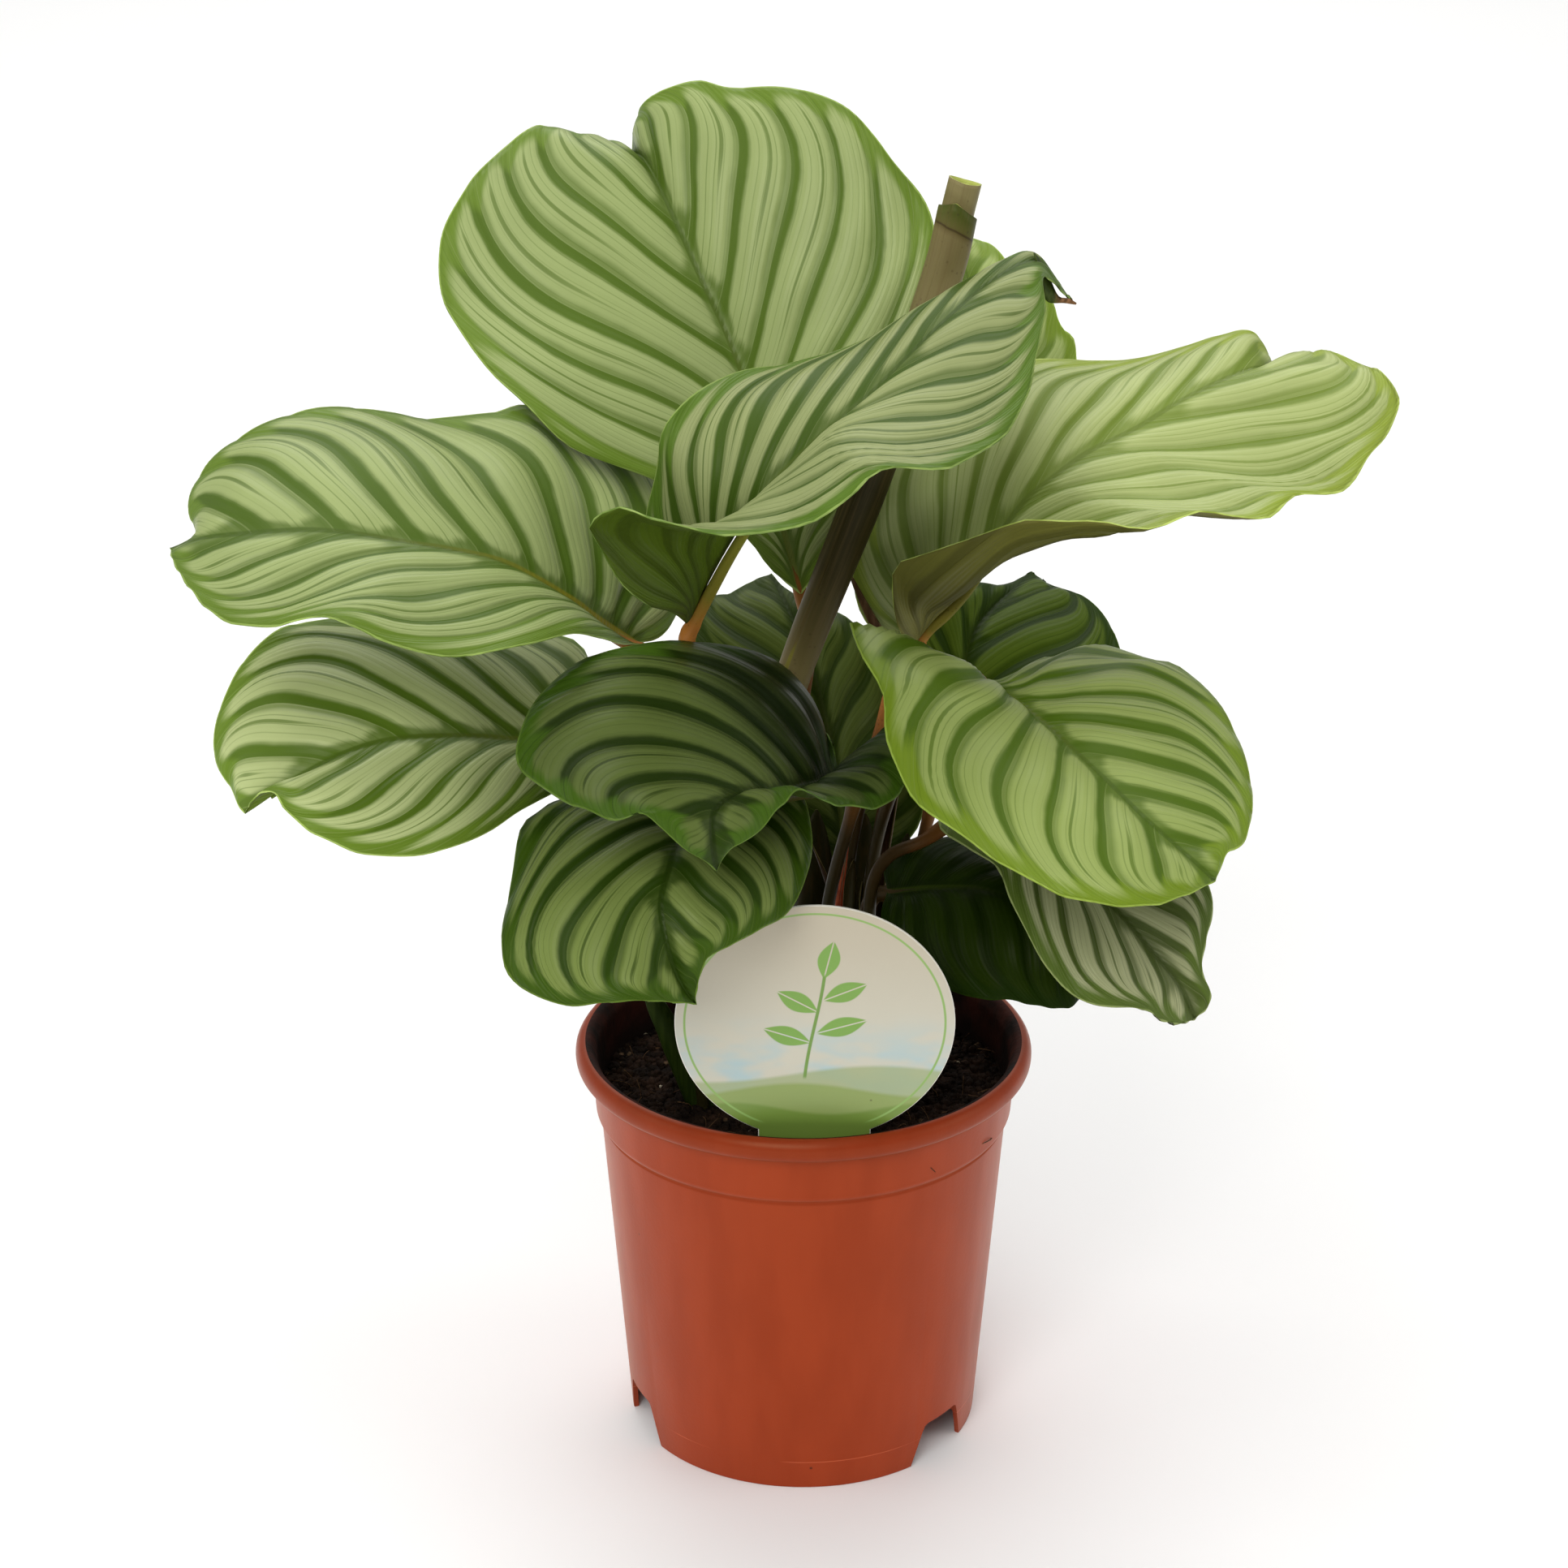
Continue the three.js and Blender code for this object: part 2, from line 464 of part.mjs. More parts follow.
// A drain notch in the skirt: wider at the bottom, with its top corners cut off.
function notchCutter(azimuth) {
  const reach = [POT.baseRadius - 2 * POT.wall, POT.baseRadius + POT.wall];
  const half = [NOTCH.baseWidth / 2, NOTCH.topWidth / 2];
  const corner = 2;
  const side = [[half[0], -1], [half[1], NOTCH.height - corner], [half[1] - corner, NOTCH.height]];
  const mirrored = side.map(([x, y]) => [-x, y]).reverse();
  const outline = new THREE.Shape([...side, ...mirrored].map(([x, y]) => new THREE.Vector2(x, y)));
  const block = new THREE.ExtrudeGeometry(outline, { depth: reach[1] - reach[0], bevelEnabled: false });
  block.rotateX(Math.PI / 2).translate(0, -reach[0], 0);   // it now runs outward along -Y
  return block.rotateZ(deg(azimuth));
}

// The soil's top rises and dips by a few slow waves.
function soilHeight(x, y) {
  return SOIL.level + SOIL.bump * (0.5 * Math.sin(x * 0.31 + 1.2) * Math.cos(y * 0.27 - 0.6)
    + 0.35 * Math.sin((x + y) * 0.53) + 0.3 * Math.cos((x - 2 * y) * 0.37));
}

function soilBlock() {
  const { inside } = potProfile();
  const wallRadius = (z) => {
    const upward = [...inside].reverse();
    const k = upward.findIndex(([, top]) => top >= z);
    const [[r0, z0], [r1, z1]] = [upward[k - 1], upward[k]];
    return THREE.MathUtils.mapLinear(z, z0, z1, r0, r1) - SOIL.clearance;
  };
  const [floorRadius, floorTop] = inside[inside.length - 1];
  const bottom = floorTop + SOIL.clearance;
  const topRadius = wallRadius(SOIL.level);
  const shoulderRadius = POT.bodyTopRadius - POT.wall - SOIL.clearance;
  const below = [[floorRadius - SOIL.clearance, bottom], [shoulderRadius, POT.bodyTop]];
  const top = Array.from({ length: SOIL.rings }, (_, k) => [topRadius * (1 - k / SOIL.rings), SOIL.level]);
  const section = [[0, bottom], ...below, ...top, [0, SOIL.level]];
  const outline = section.map(([r, z]) => new THREE.Vector2(r, z));
  const block = standUp(new THREE.LatheGeometry(outline, POT.sides));
  const places = block.attributes.position;
  for (let k = 0; k < places.count; k += 1) {
    const [x, y, z] = [places.getX(k), places.getY(k), places.getZ(k)];
    const inner = Math.hypot(x, y) < topRadius - 1;
    if (inner && z > SOIL.level - 1) places.setZ(k, soilHeight(x, y));
  }
  return block;
}

// The soil, with a plain hole for each petiole and the cut stem, and a slot for the label's tab.
function makeSoil(petiolePaths) {
  let solid = toSolid(soilBlock());
  const above = 10;
  const plug = (x, y, radius, depth) => {
    const hole = new THREE.CylinderGeometry(radius, radius, depth + above, 10);
    return toSolid(hole.rotateX(Math.PI / 2).translate(x, y, SOIL.level + (above - depth) / 2));
  };
  for (const [[x, y]] of petiolePaths) {
    solid = solid.subtract(plug(x, y, PETIOLE.rootRadius + 2 * GAP, PETIOLE.sink + GAP));
  }
  const [x, y, z] = STEM.path[0];
  solid = solid.subtract(plug(x, y, STEM.sheathRadii[0] + 2 * GAP, SOIL.level - z + GAP));
  return toGeometry(solid.subtract(toSolid(labelPlate(GAP))));
}

// The label: a round disc with a tab that stands in the soil, leaning a little to the front.
function labelPlate(margin) {
  const { radius, tabWidth, tabDepth, thickness, bottom, lean } = LABEL;
  const half = tabWidth / 2 + margin;
  const meet = Math.asin(half / (radius + margin));
  const outline = new THREE.Shape();
  outline.moveTo(-half, -tabDepth - margin);
  outline.lineTo(half, -tabDepth - margin);
  outline.absarc(0, radius, radius + margin, meet - Math.PI / 2, 1.5 * Math.PI - meet, false);
  outline.closePath();
  const plate = new THREE.ExtrudeGeometry(outline, {
    depth: thickness + 2 * margin, bevelEnabled: false, curveSegments: 20,
  });
  plate.translate(0, 0, -thickness / 2 - margin).rotateX(deg(90 + lean));
  return plate.translate(...bottom);
}

// Assembly

function mesh(name, geometry, color, roughness) {
  const piece = new THREE.Mesh(geometry, new THREE.MeshStandardMaterial({ color, roughness, metalness: 0 }));
  piece.name = name;
  return piece;
}

const plant = new THREE.Group();
const petiolePaths = [];
for (const leaf of LEAVES) {
  const path = petiolePath(leaf);
  petiolePaths.push(path);
  plant.add(mesh(`leaf_${leaf.name}`, makeBlade(leaf), COLORS.blade, 0.45));
  plant.add(mesh(`petiole_${leaf.name}`, makePetiole(path), COLORS.petiole, 0.5));
}
const stem = makeStem();
plant.add(mesh('cut_stem_sheath', stem.sheath, COLORS.sheath, 0.6));
plant.add(mesh('cut_stem_core', stem.core, COLORS.core, 0.6));

const potted = new THREE.Group();
potted.add(mesh('pot', makePot(), COLORS.pot, 0.45));
potted.add(mesh('soil', makeSoil(petiolePaths), COLORS.soil, 0.95));
potted.add(mesh('plant_label', labelPlate(0), COLORS.label, 0.4));
potted.add(plant);

export default potted;
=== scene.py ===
# %% [markdown]
# # A potted calathea orbifolia
# The plant is a prayer plant in its nursery pot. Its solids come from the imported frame, and this
# script builds what is seen: thirteen striped leaf blades on their stalks, the sheaths at their foot,
# a stem that was cut off, potting soil, a round label and the plastic pot. Everything is in metres,
# +Z up, and stays where the frame has it. The script is read from top to bottom, a cell at a time.

# %% Load the frame
import math
import random

import bpy
import numpy as np
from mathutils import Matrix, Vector, noise


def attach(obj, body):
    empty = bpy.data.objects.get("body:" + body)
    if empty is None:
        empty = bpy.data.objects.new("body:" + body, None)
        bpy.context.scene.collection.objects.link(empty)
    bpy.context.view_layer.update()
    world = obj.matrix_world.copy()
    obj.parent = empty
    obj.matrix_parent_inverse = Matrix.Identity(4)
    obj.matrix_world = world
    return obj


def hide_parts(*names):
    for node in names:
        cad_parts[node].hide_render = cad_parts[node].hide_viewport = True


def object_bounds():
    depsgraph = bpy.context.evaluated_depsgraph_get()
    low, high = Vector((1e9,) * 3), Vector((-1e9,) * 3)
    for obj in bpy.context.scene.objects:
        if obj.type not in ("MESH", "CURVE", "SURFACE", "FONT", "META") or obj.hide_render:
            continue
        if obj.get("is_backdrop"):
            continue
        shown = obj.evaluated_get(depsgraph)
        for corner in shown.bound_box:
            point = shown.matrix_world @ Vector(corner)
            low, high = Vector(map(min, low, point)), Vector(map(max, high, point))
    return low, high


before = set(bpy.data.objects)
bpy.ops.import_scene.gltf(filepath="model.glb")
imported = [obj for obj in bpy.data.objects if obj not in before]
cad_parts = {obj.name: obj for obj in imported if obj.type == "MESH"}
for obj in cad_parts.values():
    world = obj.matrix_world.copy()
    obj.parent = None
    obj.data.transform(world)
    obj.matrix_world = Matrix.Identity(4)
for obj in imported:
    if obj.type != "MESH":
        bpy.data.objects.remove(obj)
frame_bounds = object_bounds()
scene = bpy.context.scene
MM = 0.001
print("nodes in the frame:", len(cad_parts))

# %% [markdown]
# ## The camera and the light
# The photograph was taken from a little over a metre away and from about 23 degrees above, with a
# long lens. The camera is set first, so that every later step can be compared with the photograph.
# The light there is soft and comes from all round: a bright surrounding does most of it, and four
# large area lights give the leaves and the pot their broad, dull highlights. A fifth one lights the
# floor behind the plant, which goes over into white.

# %% Camera
LOOK_AT = Vector((-0.006, 0.0, 0.2117))
CAMERA_DISTANCE = 1.145
CAMERA_ELEVATION = math.radians(22.9)

camera_data = bpy.data.cameras.new("camera")
camera_data.lens = 88
camera_data.sensor_width = 36
camera = bpy.data.objects.new("camera", camera_data)
back = Vector((0, -math.cos(CAMERA_ELEVATION), math.sin(CAMERA_ELEVATION)))
camera.location = LOOK_AT + CAMERA_DISTANCE * back
camera.rotation_euler = back.to_track_quat("Z", "Y").to_euler()
scene.collection.objects.link(camera)
scene.camera = camera
scene.view_settings.view_transform = "Standard"
print("camera at", tuple(round(v, 3) for v in camera.location))


# %% Lights
def soft_light(name, place, size, watts, aim=LOOK_AT):
    """A square area light that faces the plant."""
    data = bpy.data.lights.new(name, "AREA")
    data.size = size
    data.energy = watts
    lamp = bpy.data.objects.new(name, data)
    lamp.location = place
    lamp.rotation_euler = (Vector(place) - aim).to_track_quat("Z", "Y").to_euler()
    scene.collection.objects.link(lamp)


soft_light("overhead", (-0.2, -0.2, 2.2), 1.8, 14)
soft_light("front", (-0.5, -2.0, 1.7), 1.2, 30)
soft_light("left wall", (-1.9, -0.3, 0.9), 1.3, 6)
soft_light("right wall", (1.9, -0.3, 0.9), 1.3, 7)
soft_light("backdrop", (0.0, 2.2, 2.4), 2.6, 46, aim=Vector((0, 2.2, 0)))

# %% Surroundings
# The room is pale all round but for the camera's side, so nothing bright mirrors in the pot's front
world = bpy.data.worlds.new("surroundings")
world.use_nodes = True
sky = world.node_tree
facing = sky.nodes.new("ShaderNodeTexCoord").outputs["Generated"]
parts = sky.nodes.new("ShaderNodeSeparateXYZ")
glow = sky.nodes.new("ShaderNodeMapRange")
glow.interpolation_type = "SMOOTHSTEP"
for label, value in (("From Min", -0.95), ("From Max", -0.25), ("To Min", 0.18), ("To Max", 0.42)):
    glow.inputs[label].default_value = value
sky.links.new(parts.inputs[0], facing)
sky.links.new(glow.inputs[0], parts.outputs["Y"])
sky.links.new(sky.nodes["Background"].inputs["Strength"], glow.outputs[0])
sky.nodes["Background"].inputs["Color"].default_value = (1.0, 0.99, 0.975, 1)
scene.world = world
print("surroundings from", round(glow.inputs["To Min"].default_value, 2), "to",
      round(glow.inputs["To Max"].default_value, 2))


# %% [markdown]
# ## Helpers for meshes
# Small helpers are used all the way through. They make an object from points and faces, number the
# faces of a grid, lay a UV map over the points, thicken a sheet and draw a curve. `grow` runs a
# Geometry Nodes tree and keeps its result as a plain mesh, because the tree itself isn't exported.
# `hand_in` hands a piece to the frame in place of the solids it stands for, which it hides.

# %% Mesh helpers
def make_object(name, points, faces, materials=(), smooth=True):
    """A mesh object at the origin from points in metres."""
    mesh = bpy.data.meshes.new(name)
    mesh.from_pydata([tuple(p) for p in points], [], faces)
    for material in materials:
        mesh.materials.append(material)
    mesh.shade_smooth() if smooth else mesh.shade_flat()
    mesh.update()
    piece = bpy.data.objects.new(name, mesh)
    scene.collection.objects.link(piece)
    return piece


def grid_faces(rows, columns):
    """The faces of a grid of points that are listed row by row."""
    corners = [row * columns + column for row in range(rows - 1) for column in range(columns - 1)]
    return [[a, a + columns, a + columns + 1, a + 1] for a in corners]


def add_uv(piece, name, places):
    """A UV map from one pair of numbers for each point."""
    layer = piece.data.uv_layers.new(name=name)
    for loop in piece.data.loops:
        layer.uv[loop.index].vector = places[loop.vertex_index]


def thicken(piece, thickness, offset=-1, inner=0, rim=0):
    """Makes a sheet this many mm thick; inner and rim count on to those sides' materials."""
    solid = piece.modifiers.new("thickness", "SOLIDIFY")
    solid.thickness = thickness * MM
    solid.offset = offset
    solid.material_offset = inner
    solid.material_offset_rim = rim


def path_curve(name, points):
    """A curve of straight steps through points in metres."""
    curve = bpy.data.curves.new(name, "CURVE")
    curve.dimensions = "3D"
    line = curve.splines.new("POLY")
    line.points.add(len(points) - 1)
    for point, place in zip(line.points, points):
        point.co = (*place, 1)
    return curve


print("faces of a grid of 3 by 4 points:", len(grid_faces(3, 4)))


# %% Helpers for finished pieces
def grow(name, data, tree, **sizes):
    """Runs a Geometry Nodes tree on a mesh or curve, with its named inputs, and keeps a plain mesh."""
    source = bpy.data.objects.new(name + " source", data)
    scene.collection.objects.link(source)
    modifier = source.modifiers.new(tree.name, "NODES")
    modifier.node_group = tree
    for item in tree.interface.items_tree:
        if item.item_type == "SOCKET" and item.in_out == "INPUT" and item.name in sizes:
            modifier[item.identifier] = sizes[item.name]
    evaluated = source.evaluated_get(bpy.context.evaluated_depsgraph_get())
    mesh = bpy.data.meshes.new_from_object(evaluated)
    mesh.name = name
    bpy.data.objects.remove(source)
    piece = bpy.data.objects.new(name, mesh)
    scene.collection.objects.link(piece)
    return piece


def hand_in(piece, finish, *nodes):
    """Puts a finished piece in the frame, in place of the solids it stands for."""
    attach(piece, "root")
    if nodes:
        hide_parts(*nodes)


def triangles(piece):
    """How many triangles a finished piece has, for the cell's print."""
    piece.data.calc_loop_triangles()
    return len(piece.data.loop_triangles)


# %% [markdown]
# ## Helpers for node trees
# Materials and Geometry Nodes trees are both built from many small nodes. This class adds a node,
# sets its values and links its inputs in one call, so that a formula in a tree reads like one line.

# %% Node helpers
def srgb(red, green, blue):
    """A colour as it is read off a screen, 0 to 255, in the linear values that nodes hold."""
    linear = [c / 12.92 if c <= 0.04045 else ((c + 0.055) / 1.055) ** 2.4
              for c in (red / 255, green / 255, blue / 255)]
    return (*linear, 1.0)


class Nodes:
    """Adds linked nodes to a shader or Geometry Nodes tree."""

    def __init__(self, tree):
        self.tree = tree

    def put(self, socket, value):
        """Links another node's output to a socket, or sets the socket's own value."""
        if isinstance(value, bpy.types.NodeSocket):
            self.tree.links.new(value, socket)
        else:
            socket.default_value = value

    def add(self, kind, inputs=None, **settings):
        node = self.tree.nodes.new(kind)
        for name, value in settings.items():
            setattr(node, name, value)
        for key, value in (inputs or {}).items():
            self.put(node.inputs[key], value)
        return node

    def math(self, operation, *values):
        node = self.add("ShaderNodeMath", operation=operation)
        for socket, value in zip(node.inputs, values):
            self.put(socket, value)
        return node.outputs[0]

    def fade(self, value, start, end):
        """0 where value is at start, 1 where it is at end, and a smooth step between."""
        node = self.add("ShaderNodeMapRange", {"Value": value, "From Min": start, "From Max": end},
                        interpolation_type="SMOOTHSTEP")
        return node.outputs["Result"]

    def mix(self, share, first, second, blend="MIX"):
        """Between two colours."""
        node = self.add("ShaderNodeMix", data_type="RGBA", blend_type=blend)
        for socket, value in zip((node.inputs[0], node.inputs[6], node.inputs[7]), (share, first, second)):
            self.put(socket, value)
        return node.outputs[2]

    def noise(self, place, scale, detail=2.0, distortion=0.0):
        node = self.add("ShaderNodeTexNoise", {"Vector": place, "Scale": scale, "Detail": detail,
                                               "Distortion": distortion})
        return node.outputs[0]

    def random(self, value):
        """One random number for each whole number."""
        node = self.add("ShaderNodeTexWhiteNoise", {"W": value}, noise_dimensions="1D")
        return node.outputs["Value"]

    def place(self):
        return self.add("ShaderNodeTexCoord").outputs["Object"]

    def xyz(self):
        """The three Object coordinates, apart."""
        return self.add("ShaderNodeSeparateXYZ", {0: self.place()}).outputs

    def grain(self, stretch, scale, detail=2.0):
        """Noise that is drawn out upward, the more the smaller stretch is."""
        drawn = self.add("ShaderNodeMapping", {"Vector": self.place(), "Scale": (1.0, 1.0, stretch)})
        return self.noise(drawn.outputs[0], scale, detail=detail)

    def ramp(self, value, stops):
        """A colour for each value from 0 to 1, by stops of a value and a colour."""
        node = self.add("ShaderNodeValToRGB", {0: value})
        elements = node.color_ramp.elements
        while len(elements) < len(stops):
            elements.new(0.5)
        for element, (position, colour) in zip(elements, stops):
            element.position = position
            element.color = srgb(*colour)
        return node.outputs["Color"]

    def shade(self, colour, value):
        """A colour made darker or lighter by a number around 1."""
        grey = self.add("ShaderNodeCombineColor", {0: value, 1: value, 2: value}).outputs[0]
        return self.mix(1.0, colour, grey, "MULTIPLY")

    def uv(self, name):
        """The two coordinates of a UV map, apart."""
        split = self.add("ShaderNodeSeparateXYZ", {0: self.add("ShaderNodeUVMap", uv_map=name).outputs[0]})
        return split.outputs[0], split.outputs[1]

    def group(self, tree, **inputs):
        node = self.add("ShaderNodeGroup", node_tree=tree)
        for name, value in inputs.items():
            self.put(node.inputs[name.replace("_", " ")], value)
        return node.outputs


print("the middle grey of a screen in linear values:", round(srgb(128, 128, 128)[0], 3))


# %% Helpers for groups and materials
def new_group(name, inputs, outputs):
    """An empty shader node group with number inputs and outputs: its nodes, inputs and output node."""
    tree = bpy.data.node_groups.new(name, "ShaderNodeTree")
    for label, default in inputs.items():
        socket = tree.interface.new_socket(label, in_out="INPUT", socket_type="NodeSocketFloat")
        socket.default_value = default
    for label in outputs:
        tree.interface.new_socket(label, in_out="OUTPUT", socket_type="NodeSocketFloat")
    nodes = Nodes(tree)
    return tree, nodes, nodes.add("NodeGroupInput").outputs, nodes.add("NodeGroupOutput")


def new_material(name, roughness=0.5, **values):
    """A material with a Principled BSDF whose even values are set on its own sockets."""
    material = bpy.data.materials.new(name)
    material.use_nodes = True
    shader = material.node_tree.nodes["Principled BSDF"]
    shader.inputs["Roughness"].default_value = roughness
    for label, value in values.items():
        shader.inputs[label.replace("_", " ")].default_value = value
    return material, Nodes(material.node_tree), shader


def add_bump(nodes, shader, height, strength, depth):
    """Bends the light on a surface as if it had this height, depth metres at most."""
    bump = nodes.add("ShaderNodeBump", {"Height": height, "Strength": strength, "Distance": depth})
    nodes.put(shader.inputs["Normal"], bump.outputs[0])


print("node trees so far:", len(bpy.data.node_groups))

# %% [markdown]
# ## Two effects that many materials share
# Nothing on a living plant or a used pot is one even colour. `mottling` gives slow light and dark
# patches, and `specks` gives scattered small dots, such as dust and bits of soil. Both are node
# groups that put out only a value, and each material uses them with its own sizes.

# %% Shared groups
MOTTLING, nodes, given, out = new_group("mottling", {"Scale": 30.0, "Contrast": 0.3}, ["Value"])
cloud = nodes.noise(nodes.place(), given["Scale"], detail=4.0)
lifted = nodes.math("MULTIPLY_ADD", nodes.math("SUBTRACT", cloud, 0.5), given["Contrast"], 1.0)
nodes.put(out.inputs["Value"], lifted)

SPECKS, nodes, given, out = new_group("specks", {"Scale": 300.0, "Size": 0.1, "Share": 0.1}, ["Mask"])
cells = nodes.add("ShaderNodeTexVoronoi", {"Vector": nodes.place(), "Scale": given["Scale"]})
dot = nodes.fade(cells.outputs["Distance"], given["Size"], nodes.math("MULTIPLY", given["Size"], 0.5))
chance = nodes.add("ShaderNodeSeparateColor", {0: cells.outputs["Color"]}).outputs[0]
chosen = nodes.math("LESS_THAN", chance, given["Share"])
nodes.put(out.inputs["Mask"], nodes.math("MULTIPLY", dot, chosen))
print("shared groups:", MOTTLING.name, SPECKS.name)

# %% [markdown]
# ## The leaves: where they are
# Each blade is described as in the solids: its midrib from base to tip, and its left and right
# margins as seen with the tip pointing away, in millimetres. `bulge` is how far a half stands up
# from straight veins at base, middle and tip, and `ripple` is the height, number and start of the
# margin's waves. `root` is where the stalk stands in the soil, and `via` bends it on its way up.

